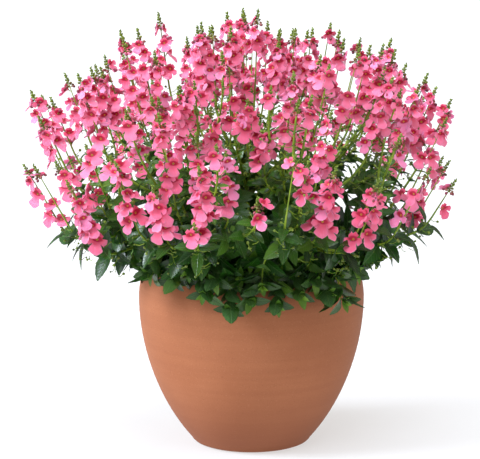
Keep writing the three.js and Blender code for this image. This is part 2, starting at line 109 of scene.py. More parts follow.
# The rings that the stems stand in. Angles in degrees, polar measured from the vertical. The extra
# heads are the smaller ones between the solids': angle round, polar, share of the reach, and where
# on the main stem they fork.
RINGS = (
    {
        "stems": 1, "start": 38, "polar": 3, "base": 0, "sides": (45, 135, 225, 315), "side_polar": 17,
        "extra": ((0, 9, 0.95, 0.6), (90, 11, 0.93, 0.5), (180, 9, 0.96, 0.65), (270, 12, 0.94, 0.55)),
    },
    {
        "stems": 5, "start": 15, "polar": 27, "base": 30, "sides": (-20, 20), "side_polar": 36,
        "extra": ((36, 23, 0.96, 0.5), (0, 35, 0.95, 0.5), (11, 44, 0.95, 0.5)),
    },
    {
        "stems": 8, "start": -18, "polar": 45, "base": 60, "sides": (-11.5, 11.5), "side_polar": 56,
        "extra": ((-10, 39, 0.95, 0.5),),
    },
)

# Low at the front the crown stands open: extra heads only grow there where the photograph shows one.
OPEN_AZIMUTH = (-165, -10)
OPEN_POLAR = 33

# Heads that the photograph shows: the pixel of the spike's tip, how far it is nearer than the pot's
# axis, its stem, its flowers' length and where it forks
SEEN_HEADS = (
    (104, 54, 60, 5, 45, 0.6), (137, 27, -20, 4, 42, 0.7), (201, 21, 40, 1, 50, 0.5),
    (212, 24, 0, 1, 50, 0.6), (227, 11, 10, 1, 50, 0.6), (258, 8, 30, 1, 50, 0.6),
    (279, 30, -40, 3, 40, 0.6), (268, 20, -20, 1, 50, 0.6), (296, 27, 50, 1, 50, 0.6),
    (308, 29, 0, 1, 40, 0.7), (340, 29, 10, 6, 45, 0.6), (371, 44, 60, 6, 50, 0.6),
    (360, 47, 95, 6, 50, 0.6), (384, 43, 40, 2, 45, 0.6), (392, 37, 0, 2, 50, 0.7),
    (407, 62, -30, 8, 40, 0.6), (437, 86, 20, 7, 45, 0.6), (30, 89, 50, 12, 50, 0.5),
    (152, 184, 185, 13, 38, 0.5), (196, 132, 175, 13, 54, 0.55), (226, 150, 185, 13, 45, 0.5),
    (158, 96, 130, 13, 45, 0.6), (337, 165, 182, 14, 50, 0.5), (268, 122, 140, 6, 22, 0.6),
    (90, 66, 60, 12, 45, 0.6), (420, 84, 60, 7, 40, 0.5), (128, 106, 110, 5, 38, 0.5),
    (80, 158, 125, 12, 30, 0.5), (210, 106, 140, 13, 40, 0.55), (452, 98, 30, 7, 20, 0.6),
    (313, 27, 40, 1, 35, 0.7), (396, 48, 60, 8, 35, 0.6), (100, 66, 20, 5, 35, 0.6),
    (457, 178, 60, 7, 22, 0.45), (382, 186, 160, 14, 40, 0.5), (308, 166, 190, 14, 20, 0.5),
    (248, 98, 140, 6, 18, 0.6), (292, 90, 130, 6, 22, 0.6),
)

# Young heads that the photograph shows in front of the others, most of them still in bud: the pixel of
# the spike's tip, how far it is nearer than the pot's axis, and its stem
SEEN_YOUNG = (
    (222, 50, 118, 5), (194, 80, 156, 5), (151, 95, 160, 13), (125, 108, 162, 13), (216, 143, 208, 13),
    (85, 143, 154, 12), (110, 155, 172, 12), (178, 85, 158, 5), (386, 65, 62, 6), (330, 63, 114, 6),
    (312, 95, 164, 6), (402, 88, 92, 7), (271, 85, 164, 6), (402, 133, 144, 7), (309, 160, 198, 14),
    (299, 98, 172, 14), (258, 196, 205, 13), (194, 222, 195, 13),
)
YOUNG_LENGTH = 0
YOUNG_FORK = 0.6

# Where the photograph shows stems and few flowers: the pixel, the radius and the share left out
BARE_PLACES = (
    (56, 155, 22, 0.55), (62, 195, 22, 0.6), (172, 160, 22, 0.72), (168, 194, 16, 0.75),
    (290, 188, 26, 0.6), (308, 128, 11, 0.4), (230, 92, 14, 0.6), (248, 50, 13, 0.75),
    (350, 232, 16, 0.75), (128, 52, 14, 0.5), (190, 150, 12, 0.6), (176, 82, 12, 0.5),
    (347, 82, 13, 0.9), (288, 205, 15, 0.95), (428, 178, 16, 0.6), (330, 48, 12, 0.6),
    (66, 140, 16, 0.6), (50, 112, 12, 0.5), (450, 92, 10, 0.6), (130, 168, 12, 0.7),
    (330, 130, 14, 0.85), (190, 190, 11, 0.8), (370, 150, 11, 0.5),
)

# How far stems and heads stray from the rings' angles, in degrees, and from the dome, in millimetres
SPREAD = {
    "azimuth": 4, "polar": 2, "side_azimuth": 2, "side_polar": 2.5, "reach": 7,
    "extra_azimuth": 5, "extra_polar": 2.5, "extra_reach": 9,
}

# Stalks, as half their width
ROOT_THICK = 2.0
SIDE_THICK = 1.6
AXIS_THICK = 0.95
SPIKE_TIP_THICK = 0.3
SHOOT_THICK = 1.2
PEDICEL_THICK = 0.34
CAPSULE_STALK_THICK = 0.32
MAIN_STEPS = 22
SIDE_STEPS = 14
SHOOT_STEPS = 9
BURIED_TAPER = 0.8

# Raceme: the head of flowers below a spike. Flowers are drawn outwards and to the light, and are
# smaller in the heads high up, where they are also painted paler as painted light from above.
RACEME_PITCH = 4.9
RACEME_RISE = 10.5
PEDICEL_LENGTH = 7.8
PEDICEL_SHARES = (1.1, 0.5)
PEDICEL_SAG = 1.2
PEDICEL_VARIES = 0.2
LOW_BLOOM = 1.0
HIGH_BLOOM = 0.88
HIGH_PAINTED_LIGHT = 0.5
LOW_HEAD = 290
HIGH_HEAD = 390
TOP_FLOWER_SHARE = 0.76
FLOWER_SIZE_VARIES = 0.09
FLOWER_RISE = 1.5
FLOWER_RISE_VARIES = 2.5
FLOWER_ROUND_VARIES = 18
FLOWER_TWIST_VARIES = 22
FLOWER_BACK = 3.0
NOD = 8
NOD_VARIES = 16
LIGHT = Vector((-0.25, -0.95, 0.15))
LIGHT_DRAWS = 0.52
OUTWARD_DRAWS = 0.36
FACE_DRAWS = 0.45
FACE_VARIES = 0.55
GAP_DRAW = 0.66

# Low at the crown's left and right the flowers stand thin
THIN_OUT = 165
THIN_UNDER = 305
THIN_GAP_DRAW = -0.1

# Buds: the dark ones that are about to open, the green ones that make up the spike, and the seed
# capsules below the flowers
DARK_BUDS = 7
DARK_BUD_SIZE = 3.3
DARK_BUD_SHARES = (1.2, 0.8)
DARK_BUD_VARIES = 0.1
DARK_BUD_STALKS = (4.5, 1.6)
GREEN_BUDS = 13
GREEN_BUD_SIZE = 3.5
GREEN_BUD_SHARES = (1, 0.55)
GREEN_FROM = 12
CAPSULES = 10
CAPSULE_SIZE = 2.8
CAPSULE_SIZE_VARIES = 0.2
CAPSULE_PITCH = 4.6
CAPSULE_STALK = 7.5
CAPSULE_STALK_VARIES = 0.3
CAPSULE_RISE = 2
CAPSULE_SAG = 1.2

# Leaves: their length by the height at which they grow, the pitch of the pairs, their angle, and how
# much younger the short ones look
LEAF_LONG = 27
LEAF_SHORT = 8
LEAFY_HEIGHT = 212
SPARSE_HEIGHT = 312
PAIR_PITCH = 12
LEAF_ANGLE = 34
LEAF_SAG = 0.22
LEAF_SAG_VARIES = 0.5
LEAF_SIZE_VARIES = 0.14
LEAF_TURN_VARIES = 25
LEAVES_FROM = 0.1
LEAVES_TO = 0.97
YOUNGER = 0.4

# Leafy shoots without flowers, ring by ring: the angle round from their stem's, how far out and how
# high their end lies. The outer ring's first three hang over the rim, as the solids' do.
SHOOTS = (
    ((0, 40, 205), (120, 45, 215), (240, 42, 210), (60, 50, 290), (180, 55, 300), (300, 45, 285)),
    (
        (-30, 66, 214), (-10, 80, 204), (12, 74, 218), (33, 62, 208), (22, 92, 222), (0, 98, 280),
        (32, 104, 268),
    ),
    (
        (-14, 117, 190), (1, 117, 190), (16, 117, 190), (-20, 99, 214), (-6, 104, 222),
        (9, 96, 210), (21, 108, 204), (-11, 112, 196), (6, 108, 200),
    ),
)
SHOOT_STARTS = (0.12, 0.12, 0.12, 0.2, 0.26, 0.2, 0.16, 0.1, 0.1)
SHOOT_CREST = 0.6
SHOOT_LIFT = 12
SHOOT_OUT_VARIES = 3
SHOOT_HEIGHT_VARIES = 4

# Shoots that the photograph shows hanging in front of the pot: the pixel of their end, how far it is
# nearer than the pot's axis, and their stem
SEEN_SHOOTS = (
    (230, 307, 122, 13), (205, 292, 118, 13), (216, 278, 124, 13), (250, 299, 121, 13),
    (262, 284, 126, 14), (277, 303, 121, 14), (299, 293, 119, 14), (313, 279, 117, 14),
    (341, 299, 101, 14), (325, 291, 111, 14), (176, 280, 104, 13), (191, 268, 112, 13),
    (154, 272, 90, 13),
)
HANG_START = 0.1
HANG_LIFT = 46
SHOOT_PAIR_PITCH = 9
SHOOT_LEAVES_FROM = 0.35

# The leaves at a shoot's end: their share of a long leaf, their angle and how young they look
ROSETTE = ((0.75, 34, 0.1), (0.52, 48, 0.5), (0.34, 60, 0.9), (0.2, 72, 1.0))
ROSETTE_PITCH = 2.2
ROSETTE_ALONG = 0.5
ROSETTE_OUT = 0.7
ROSETTE_UP = 0.25

# The photograph's view: how far back, how high and towards what the camera looks, its lens and
# sensor, how far it sees in metres, and the pixel in the middle of its frame
VIEW_DISTANCE = 2200
VIEW_HEIGHT = 10.2
VIEW_TARGET = Vector((-11.3, 0, 215))
VIEW_LENS = 165
VIEW_SENSOR = 36
VIEW_CLIP = 20
FRAME_MIDDLE = (240, 229.5)

# What grows at a point of the plan
STALK, LEAF, BUD, CALYX, FLOWER = range(5)


def draw(n, kind):
    """A repeatable draw from -1 to 1, the same as the solids' draw."""
    wave = math.sin(n * 12.9898 + kind * 78.233) * 43758.5453
    return 2 * (wave - math.floor(wave)) - 1


def draw_share(n, kind):
    """The same draw, from 0 to 1."""
    return (draw(n, kind) + 1) / 2


def lerp(low, high, share):
    return low + (high - low) * share


def direction(azimuth, polar):
    """The way that lies at an angle round the vertical and at another from it."""
    a = math.radians(azimuth)
    p = math.radians(polar)
    return Vector((math.sin(p) * math.cos(a), math.sin(p) * math.sin(a), math.cos(p)))


def bend(corners, steps):
    """Points along the Bezier curve that a list of corners draws."""
    points = []
    for i in range(steps + 1):
        left = list(corners)
        while len(left) > 1:
            left = [a.lerp(b, i / steps) for a, b in zip(left, left[1:])]
        points.append(left[0])
    return points


def around(right, front, degrees):
    """The way out from an axis at an angle, from two ways across it."""
    angle = math.radians(degrees)
    return right * math.cos(angle) + front * math.sin(angle)


def turn_to(forward, top):
    """The turn that brings Y to forward and Z as near to top as it can."""
    y = forward.normalized()
    x = y.cross(top)
    if x.length < 0.01:
        x = y.cross(Vector((1, 0, 0)))
    x.normalize()
    return Matrix((x, y, x.cross(y))).transposed().to_quaternion()


def in_scene(name, data):
    """A new object in the scene."""
    piece = bpy.data.objects.new(name, data)
    bpy.context.scene.collection.objects.link(piece)
    return piece


# Node trees

def operator(operation, flipped=False):
    """A method that adds a Math node, with the socket itself as the last number where it is flipped."""
    def act(socket, *others):
        numbers = (*others, socket) if flipped else (socket, *others)
        return socket.math(operation, *numbers)
    return act


class Socket:
    """A number that a node gives. Arithmetic on it adds the Math nodes that work it out."""

    def __init__(self, maker, link):
        self.maker = maker
        self.link = link

    def math(self, operation, *numbers):
        inputs = dict(enumerate(numbers))
        return self.maker.node("ShaderNodeMath", {"operation": operation}, inputs)[0]

    __add__ = operator("ADD")
    __radd__ = operator("ADD", flipped=True)
    __sub__ = operator("SUBTRACT")
    __rsub__ = operator("SUBTRACT", flipped=True)
    __mul__ = operator("MULTIPLY")
    __rmul__ = operator("MULTIPLY", flipped=True)
    __pow__ = operator("POWER")
    __rpow__ = operator("POWER", flipped=True)
    __gt__ = operator("GREATER_THAN")
    __lt__ = operator("LESS_THAN")
    __abs__ = operator("ABSOLUTE")
    sine = operator("SINE")
    wrapped = operator("FRACT")

    def clipped(self):
        return self.math("MINIMUM", self.math("MAXIMUM", self, 0), 1)

    def equals(self, number):
        return self.math("COMPARE", self, number, 0.1)

    def ease(self, low, high):
        """0 below low, 1 above high and smooth between; the other way round where low is the higher."""
        span = (low, high, 0, 1) if low < high else (high, low, 1, 0)
        inputs = dict(enumerate((self, *span)))
        settings = {"interpolation_type": "SMOOTHSTEP"}
        return self.maker.node("ShaderNodeMapRange", settings, inputs)[0]


class Outputs:
    """What a node gives, by the name or the number of its socket."""

    def __init__(self, maker, node):
        self.maker = maker
        self.node = node

    def __getitem__(self, key):
        return Socket(self.maker, self.node.outputs[key])


class NodeMaker:
    """Adds nodes to a tree, each by its type, its settings and what its sockets are given."""

    def __init__(self, tree):
        self.tree = tree

    def node(self, kind, settings=None, inputs=None):
        node = self.tree.nodes.new(kind)
        for name, value in (settings or {}).items():
            setattr(node, name, value)
        for key, value in (inputs or {}).items():
            self.feed(node.inputs[key], value)
        return Outputs(self, node)

    def feed(self, socket, value):
        if isinstance(value, Outputs):
            value = value[0]
        if isinstance(value, Socket):
            self.tree.links.new(value.link, socket)
        else:
            socket.default_value = value

    def attribute(self, name):
        return self.node("ShaderNodeAttribute", {"attribute_name": name})["Fac"]

    def mix(self, share, first, second):
        inputs = {0: share, 6: first, 7: second}
        return self.node("ShaderNodeMix", {"data_type": "RGBA"}, inputs)[2]

    def uv(self):
        place = self.node("ShaderNodeUVMap", {"uv_map": "UVMap"})
        split = self.node("ShaderNodeSeparateXYZ", None, {0: place})
        return split[0], split[1]

    def noise(self, scale, detail=2, vector=None):
        place = vector or self.node("ShaderNodeTexCoord")["Object"]
        inputs = {"Vector": place, "Scale": scale, "Detail": detail}
        return self.node("ShaderNodeTexNoise", None, inputs)["Fac"]


def srgb(red, green, blue):
    """A colour given from 0 to 255 as a screen shows it, as the shaders take it."""
    def straight(level):
        share = level / 255
        return share / 12.92 if share <= 0.04045 else ((share + 0.055) / 1.055) ** 2.4
    return (straight(red), straight(green), straight(blue), 1)


def new_material(name, constants):
    """A material with its Principled shader's fixed numbers set, and a maker for its other nodes."""
    material = bpy.data.materials.new(name)
    material.use_nodes = True
    shader = material.node_tree.nodes["Principled BSDF"]
    for key, value in constants.items():
        shader.inputs[key].default_value = value
    return material, NodeMaker(material.node_tree), shader.inputs


def bump(maker, height, strength, distance):
    inputs = {"Height": height, "Strength": strength, "Distance": distance}
    return maker.node("ShaderNodeBump", None, inputs)["Normal"]


# Materials

def terracotta_material():
    """Matt fired clay with a fine sandy speckle and faint throwing bands, and painted shade that darkens
    it low down towards the foot.
    """
    material, maker, shader = new_material("terracotta", {"Specular IOR Level": 0.35})
    place = maker.node("ShaderNodeTexCoord")["Object"]
    height = maker.node("ShaderNodeSeparateXYZ", None, {0: place})[2]
    sand = maker.noise(900, 3)
    patches = maker.noise(14, 4)
    stretch = maker.node("ShaderNodeVectorMath", {"operation": "MULTIPLY"}, {0: place, 1: (3, 3, 170)})
    bands = maker.noise(1, 3, stretch)
    # Painted shade: over the lower half of the pot the clay darkens, most at the foot, where the contact
    # shadow falls.
    low = height.ease(0.09, 0)
    clay = maker.mix(patches.ease(0.3, 0.7), srgb(161, 97, 61), srgb(169, 105, 69))
    clay = maker.mix(bands.ease(0.35, 0.65) * 0.25, clay, srgb(150, 88, 56))
    clay = maker.mix(sand.ease(0.6, 0.75) * 0.4, clay, srgb(196, 138, 106))
    clay = maker.mix(sand.ease(0.4, 0.28) * 0.45, clay, srgb(122, 70, 46))
    # The darker clay mixed in low down is painted shade.
    maker.feed(shader["Base Color"], maker.mix(low * 0.6, clay, srgb(132, 74, 48)))
    maker.feed(shader["Roughness"], 0.66 + 0.14 * patches)
    maker.feed(shader["Normal"], bump(maker, sand * 0.5 + bands * 0.5, 0.2, 0.0005))
    return material


def compost_material():
    """Dark fibrous potting compost."""
    material, maker, shader = new_material("compost", {"Specular IOR Level": 0.2})
    grain = maker.noise(260, 5)
    damp = maker.noise(30, 2)
    soil = maker.mix(grain.ease(0.35, 0.65), srgb(38, 27, 20), srgb(86, 64, 46))
    maker.feed(shader["Base Color"], maker.mix(damp.ease(0.45, 0.7) * 0.6, soil, srgb(30, 22, 17)))
    maker.feed(shader["Roughness"], 0.85 + 0.12 * grain)
    maker.feed(shader["Normal"], bump(maker, grain, 0.8, 0.0015))
    return material


GREEN_FLESH = {"Roughness": 0.5, "Subsurface Weight": 0.1, "Subsurface Radius": (0.4, 0.8, 0.1)}


def stalk_material():
    """Fresh yellow-green stems, darker and faintly bronzed in places."""
    material, maker, shader = new_material("stem", {**GREEN_FLESH, "Subsurface Scale": 0.003})
    age = maker.attribute("age")
    along = maker.noise(45, 3)
    green = maker.mix(along.ease(0.35, 0.7), srgb(108, 136, 26), srgb(154, 180, 50))
    maker.feed(shader["Base Color"], maker.mix(age.clipped(), green, srgb(106, 92, 48)))
    return material


def leaf_material():
    """Dark satin leaves with a pale rib, sunken side veins and paler backs. Young ones are bright."""
    constants = {
        "Specular IOR Level": 0.45,
        "Subsurface Weight": 0.05,
        "Subsurface Radius": (0.3, 0.8, 0.1),
        "Subsurface Scale": 0.002,
    }
    material, maker, shader = new_material("leaf", constants)
    u, v = maker.uv()
    back = u > 1.5
    along = u - back * 2
    off_rib = abs(v - 0.5)
    age = maker.attribute("age")
    tone = maker.attribute("tint") * 0.5 + 0.5
    rib = off_rib.ease(0.035, 0.01)
    wave = ((along - off_rib * 0.7) * 8).wrapped()
    vein = abs(wave - 0.5).ease(0.09, 0.0) * off_rib.ease(0.47, 0.3)
    patches = maker.noise(70, 3)
    dark = maker.mix(tone, srgb(2, 36, 1), srgb(28, 76, 6))
    dark = maker.mix(patches.ease(0.4, 0.7) * 0.5, dark, srgb(14, 56, 4))
    fresh = maker.mix(tone, srgb(84, 134, 34), srgb(126, 170, 50))
    blade = maker.mix(age.clipped(), dark, fresh)
    blade = maker.mix(vein * 0.2, blade, srgb(70, 102, 44))
    blade = maker.mix(rib * 0.35, blade, srgb(88, 122, 50))
    maker.feed(shader["Base Color"], maker.mix(back * 0.4, blade, srgb(62, 94, 44)))
    maker.feed(shader["Roughness"], 0.27 + 0.12 * patches + back * 0.28)
    maker.feed(shader["Normal"], bump(maker, 1 - vein - rib, 0.5, 0.0006))
    return material


def bud_material():
    """Green buds and seed capsules. Those about to open are dark maroon."""
    material, maker, shader = new_material("bud", {**GREEN_FLESH, "Subsurface Scale": 0.002})
    age = maker.attribute("age")
    tone = maker.attribute("tint") * 0.5 + 0.5
    green = maker.mix(tone, srgb(82, 102, 22), srgb(128, 148, 48))
    maroon = maker.mix(tone, srgb(92, 28, 44), srgb(156, 48, 80))
    maker.feed(shader["Base Color"], maker.mix(age.clipped(), green, maroon))
    return material


def petal_material():
    """Soft pink petals, lighter to their edges, with a crimson throat, a yellow spot and paler backs,
    partly their own colour and partly painted light for the shade they lie in.
    A head's flowers are much of one tone, from rose to pale pink, heads high up are painted paler as
    painted light from above, and a few have faded to lilac."""
    constants = {
        "Roughness": 0.5,
        "Specular IOR Level": 0.3,
        "Subsurface Weight": 0.6,
        "Subsurface Radius": (1.0, 0.5, 0.6),
        "Subsurface Scale": 0.002,
        "Sheen Weight": 0.1,
    }
    material, maker, shader = new_material("petal", constants)
    u, v = maker.uv()
    back = u > 1.5
    across = (u - back * 2 - 0.5) * FLOWER_FRAME
    height = (v - 0.5) * FLOWER_FRAME
    out = (across * across + height * height) ** 0.5
    tint = maker.attribute("tint")
    fleck = maker.noise(420, 2)
    above = height.ease(-2, 1)
    # Painted light: besides a random tone per flower and per head, heads high up are made paler, as if
    # lit more from above.
    tone_and_height_light = (tint * 0.3 + maker.attribute("age") * 0.3 + 0.5).clipped()
    deep = maker.mix(tone_and_height_light, srgb(216, 68, 104), srgb(242, 102, 138))
    pale = maker.mix(tone_and_height_light, srgb(236, 104, 140), srgb(251, 138, 172))
    edge = out.ease(2.5, 9) * (1 - above) + out.ease(5, 10) * above
    lobe = maker.mix(edge * 0.85 + fleck * 0.15, deep, pale)
    lobe = maker.mix(out.ease(8, 4) * above * 0.35, lobe, srgb(220, 62, 102))
    lift = height - 0.6
    eye = (across * across * 0.3 + lift * lift) ** 0.5
    faded = tint.ease(-0.8, -0.95)
    lobe = maker.mix(faded * 0.5, lobe, srgb(228, 154, 200))
    lobe = maker.mix(eye.ease(3.4, 2), lobe, srgb(178, 10, 56))
    lobe = maker.mix(out.ease(1.4, 0.8) * 0.9, lobe, srgb(208, 140, 40))
    # The backs' colour: their own paler pink, made paler still as painted light for the shade that the
    # backs lie in.
    behind = maker.mix(out.ease(3, 9), srgb(226, 102, 144), srgb(244, 146, 188))
    maker.feed(shader["Base Color"], maker.mix(back, lobe, behind))
    ripple = (across.math("ARCTAN2", height, across) * 26).sine() * out.ease(3, 7)
    maker.feed(shader["Normal"], bump(maker, ripple, 0.15, 0.0002))
    return material


# Shapes that are repeated. Y is the way that each faces or grows, and Z its top.

FLOWER_FRAME = 34
FLOWER_THROAT = 2.4
FLOWER_DEPTH = 2.4
LOBE_SWELL = 1.0
LOBE_HEART = 0.62
LOBE_UNEVEN = 0.05
LOBE_WAVES = 0.5
BOSS_DEPTH = 1.2
BOSS_DROP = 1.0

# Lobes of a flower: the way they point in degrees, how far out their middle lies, their half length
# and half width, how far forward their end leans, and the outline's angles from the lobe's middle.
# After each comes a notch, with its angle and how far out it lies.
LIP_WAY = 270
LOBES = (
    (-17, 6.6, 3.7, 4.1, 0.1, (-24, 0, 24)),
    (60, 4.3, 3.2, 3.2, -0.1, (-24, 16)),
    (120, 4.3, 3.2, 3.2, -0.1, (-16, 24)),
    (197, 6.6, 3.7, 4.1, 0.1, (-24, 0, 24)),
    (LIP_WAY, 7.5, 5.6, 7.0, 0.3, (-37, -24, -8, 8, 24, 37)),
)
NOTCHES = ((20, 4.4), (90, 5.4), (160, 4.4), (225, 5.2), (315, 5.2))

# Flowers differ in how far their lip and their side lobes come forward, how wide their lobes are
# and how far they have opened
FLOWER_KINDS = (
    {"lip": 0.0, "sides": 0.0, "widen": 1.0, "open": 1.0},
    {"lip": 0.25, "sides": -0.2, "widen": 1.06, "open": 1.0},
    {"lip": -0.1, "sides": 0.2, "widen": 0.96, "open": 0.97},
    {"lip": 0.45, "sides": 0.1, "widen": 1.02, "open": 0.95},
    {"lip": 0.1, "sides": -0.35, "widen": 1.0, "open": 1.02},
    {"lip": 0.7, "sides": 0.6, "widen": 0.95, "open": 0.8},
)

# The two spurs behind a flower: the right one's wide end, its half width there and its point
SPUR = ((1.8, -1.9, -1.2), 1.0, (3.4, -4.4, -4.8))

# Sepals: how far out and how far forward their tips and the notches between them lie
SEPALS = 5
SEPAL_TIP = (3.0, 1.6)
SEPAL_NOTCH = (1.1, 0.4)

# Leaf outlines: stations along the blade, and the stretch that is toothed
LEAF_STATIONS = (0.1, 0.27, 0.46, 0.65, 0.84)
LEAF_TOOTHED_FROM = 1
TOOTH_OUT = 0.014
TOOTH_ON = 0.8
LEAF_THICK = 0.012
LEAF_FOLD = 0.3
LEAF_FULLNESS = 2.6
LEAF_WAVE = 0.012
LEAF_WAVES = 25

# Two leaves of the lower plant and a narrow young one: their half width and how far they droop
LEAF_KINDS = ((0.26, 0.14), (0.235, 0.26), (0.2, 0.1))

# A dark bud, a green one and a seed capsule: their half width and their sides. Round each go rings
# of points: how far along it, and their share of its half width.
BUD_KINDS = ((0.42, 6), (0.4, 5), (0.46, 6))
BUD_RINGS = ((0.16, 0.72), (0.52, 1.0), (0.84, 0.6))


def shape_object(name, places, faces, spots, rim=()):
    """An object that isn't in the scene yet, with UVs given corner by corner, smooth but for the rim."""
    mesh = bpy.data.meshes.new(name)
    mesh.from_pydata(places, [], faces)
    layer = mesh.uv_layers.new(name="UVMap")
    layer.data.foreach_set("uv", [value for spot in spots for value in spot])
    mesh.shade_smooth()
    for edge in mesh.edges:
        edge.use_edge_sharp = edge.vertices[0] in rim and edge.vertices[1] in rim
    return bpy.data.objects.new(name, mesh)


def on_back(spot):
    """A corner's UV on a back, 2 further along than on the front."""
    return spot[0] + 2, spot[1]


def two_sided(front, faces, rim, drop, spot_of):
    """A thin closed blade: each front point inside the rim gets a twin on the back, a drop away."""
    places = list(front)
    twin = {}
    for i, place in enumerate(front):
        if i in rim:
            twin[i] = i
        else:
            twin[i] = len(places)
            places.append(tuple(Vector(place) + drop))
    back = [tuple(twin[i] for i in reversed(face)) for face in faces]
    spots = [spot_of[i] for face in faces for i in face]
    for face in faces:
        spots += [on_back(spot_of[i]) for i in reversed(face)]
    return places, list(faces) + back, spots


def lobe_reach(angle, kind):
    """How far the outline of a flower lies from its throat at an angle, and its forward lean there."""
    reach, lean = 0, 0
    for middle, out, length, width, forward, _ in LOBES:
        off = math.radians(angle - middle)
        across, along = math.sin(off) / (width * kind["widen"]), math.cos(off) / length
        a = across ** 2 + along ** 2
        b = -2 * along * out / length
        c = (out / length) ** 2 - 1
        inside = b * b - 4 * a * c
        if math.cos(off) > 0 and inside > 0:
            far = (-b + math.sqrt(inside)) / (2 * a)
            if far > reach:
                reach = far
                lean = forward + kind["lip" if middle == LIP_WAY else "sides"]
    return reach * kind["open"], lean


def flower_shape(name, kind, seed):
    """A flower of five lobes round a deep throat, each swelling in its middle, and two spurs behind.
    Its points are the throat, the outline from notch to notch, and the middles of the lobes."""
    def forward(reach, lean):
        if reach < FLOWER_THROAT:
            return (reach / FLOWER_THROAT - 1) * FLOWER_DEPTH
        return (reach - FLOWER_THROAT) * lean

    def place(angle, reach, y):
        a = math.radians(angle)
        return (reach * math.cos(a), y, reach * math.sin(a))

    front = [(0, -FLOWER_DEPTH, 0)]
    spans = []
    for (middle, *_, steps), (notch, notch_reach) in zip(LOBES, NOTCHES):
        first = len(front)
        for step in steps:
            reach, lean = lobe_reach(middle + step, kind)
            reach *= 1 + LOBE_UNEVEN * draw(seed, len(front))
            y = forward(reach, lean) + LOBE_WAVES * draw(seed + 3, len(front))
            front.append(place(middle + step, reach, y))
        front.append(place(notch, notch_reach, forward(notch_reach, 0)))
        spans.append((middle, first, len(front) - 1))
    rim = set(range(1, len(front)))
    last_notch = len(front) - 1
    faces = []
    for middle, first, last in spans:
        reach, lean = lobe_reach(middle, kind)
        heart = len(front)
        inner = reach * LOBE_HEART
        front.append(place(middle, inner, forward(inner, lean) + LOBE_SWELL))
        before = last_notch if first == 1 else first - 1
        loop = [0, before, *range(first, last + 1)]
        faces += [(heart, there, here) for here, there in zip(loop, loop[1:] + loop[:1])]
    spots = [(0.5 + x / FLOWER_FRAME, 0.5 + z / FLOWER_FRAME) for x, _, z in front]
    corners = [spots[i] for face in faces for i in face]
    behind = len(front)
    front.append((0, -FLOWER_DEPTH - BOSS_DEPTH, -BOSS_DROP))
    outline = list(range(1, last_notch + 1))
    for here, there in zip(outline, outline[1:] + outline[:1]):
        faces.append((behind, here, there))
        corners += [on_back(spot) for spot in ((0.5, 0.5), spots[here], spots[there])]
    for side in (-1, 1):
        add_spur(front, faces, corners, side)
    return shape_object(name, [Vector(p) * MM for p in front], faces, corners, rim)


def add_spur(places, faces, corners, side):
    """A horn of three sides, closed at its wide end."""
    (x, y, z), thick, (tip_x, tip_y, tip_z) = SPUR
    start = len(places)
    for k in range(3):
        a = math.radians(90 + 120 * k * side)
        places.append((side * x + thick * math.cos(a), y, z + thick * math.sin(a)))
    places.append((side * tip_x, tip_y, tip_z))
    faces.append((start + 2, start + 1, start))
    faces += [(start + k, start + (k + 1) % 3, start + 3) for k in range(3)]
    crimson = (0.5, 0.5 + FLOWER_THROAT * 1.4 / FLOWER_FRAME)
    corners += [crimson] * 12


def leaf_shape(name, half_width, droop, seed):
    """A pointed oval leaf one unit long, folded along its rib, drooping to its tip, with toothed
    edges and a narrow stalk."""
    def width(t):
        return half_width * LEAF_FULLNESS * max(t - 0.05, 0.008) ** 0.5 * (1 - t) ** 0.85

    def height(t, share):
        wave = LEAF_WAVE * math.sin(t * LEAF_WAVES + seed) * share
        return -droop * t * t + LEAF_FOLD * share * width(t) + wave

    def at(row, column):
        return 1 + row * len(columns) + column

    columns = (-1, 0, 1)
    front = [(0, 0, 0)]
    for t in LEAF_STATIONS:
        front += [(c * width(t), t, height(t, abs(c))) for c in columns]
    tip = len(front)
    front.append((0, 1, -droop))
    last = len(LEAF_STATIONS) - 1
    faces = [(0, at(0, c + 1), at(0, c)) for c in range(2)]
    faces += [(at(last, c), at(last, c + 1), tip) for c in range(2)]
    faces += [
        (at(r, c), at(r, c + 1), at(r + 1, c + 1), at(r + 1, c)) for r in range(last) for c in range(2)
    ]
    rim = {0, tip} | {at(r, c) for r in range(last + 1) for c in (0, 2)}
    for r in range(LEAF_TOOTHED_FROM, last + 1):
        for c, side in ((0, -1), (2, 1)):
            low, high = at(r, c), tip if r == last else at(r + 1, c)
            point = Vector(front[low]).lerp(Vector(front[high]), TOOTH_ON)
            tooth = len(front)
            front.append(tuple(point + Vector((side * TOOTH_OUT, TOOTH_OUT, 0))))
            rim.add(tooth)
            faces.append((low, tooth, high) if side > 0 else (high, tooth, low))
    spots = [(0.02 + 0.96 * y, 0.5 + x / (LEAF_FULLNESS * half_width)) for x, y, _ in front]
    places, faces, spots = two_sided(front, faces, rim, UP * -LEAF_THICK, spots)
    return shape_object(name, places, faces, spots, rim)


def bud_shape(name, waist, sides):
    """A rounded bud one unit long, standing on its stalk's end and narrowing to its tip."""
    places = [(0, 0, 0)]
    for along, share in BUD_RINGS:
        for k in range(sides):
            a = 2 * math.pi * k / sides
            places.append((waist * share * math.cos(a), along, waist * share * math.sin(a)))
    places.append((0, 1, 0))
    top = len(places) - 1
    faces = []
    for k in range(sides):
        j = (k + 1) % sides
        faces.append((0, 1 + k, 1 + j))
        faces.append((top, top - sides + j, top - sides + k))
        for low in (1, 1 + sides):
            faces.append((low + k, low + sides + k, low + sides + j, low + j))
    spots = [(0.5, 0.5)] * sum(len(face) for face in faces)
    return shape_object(name, places, faces, spots)


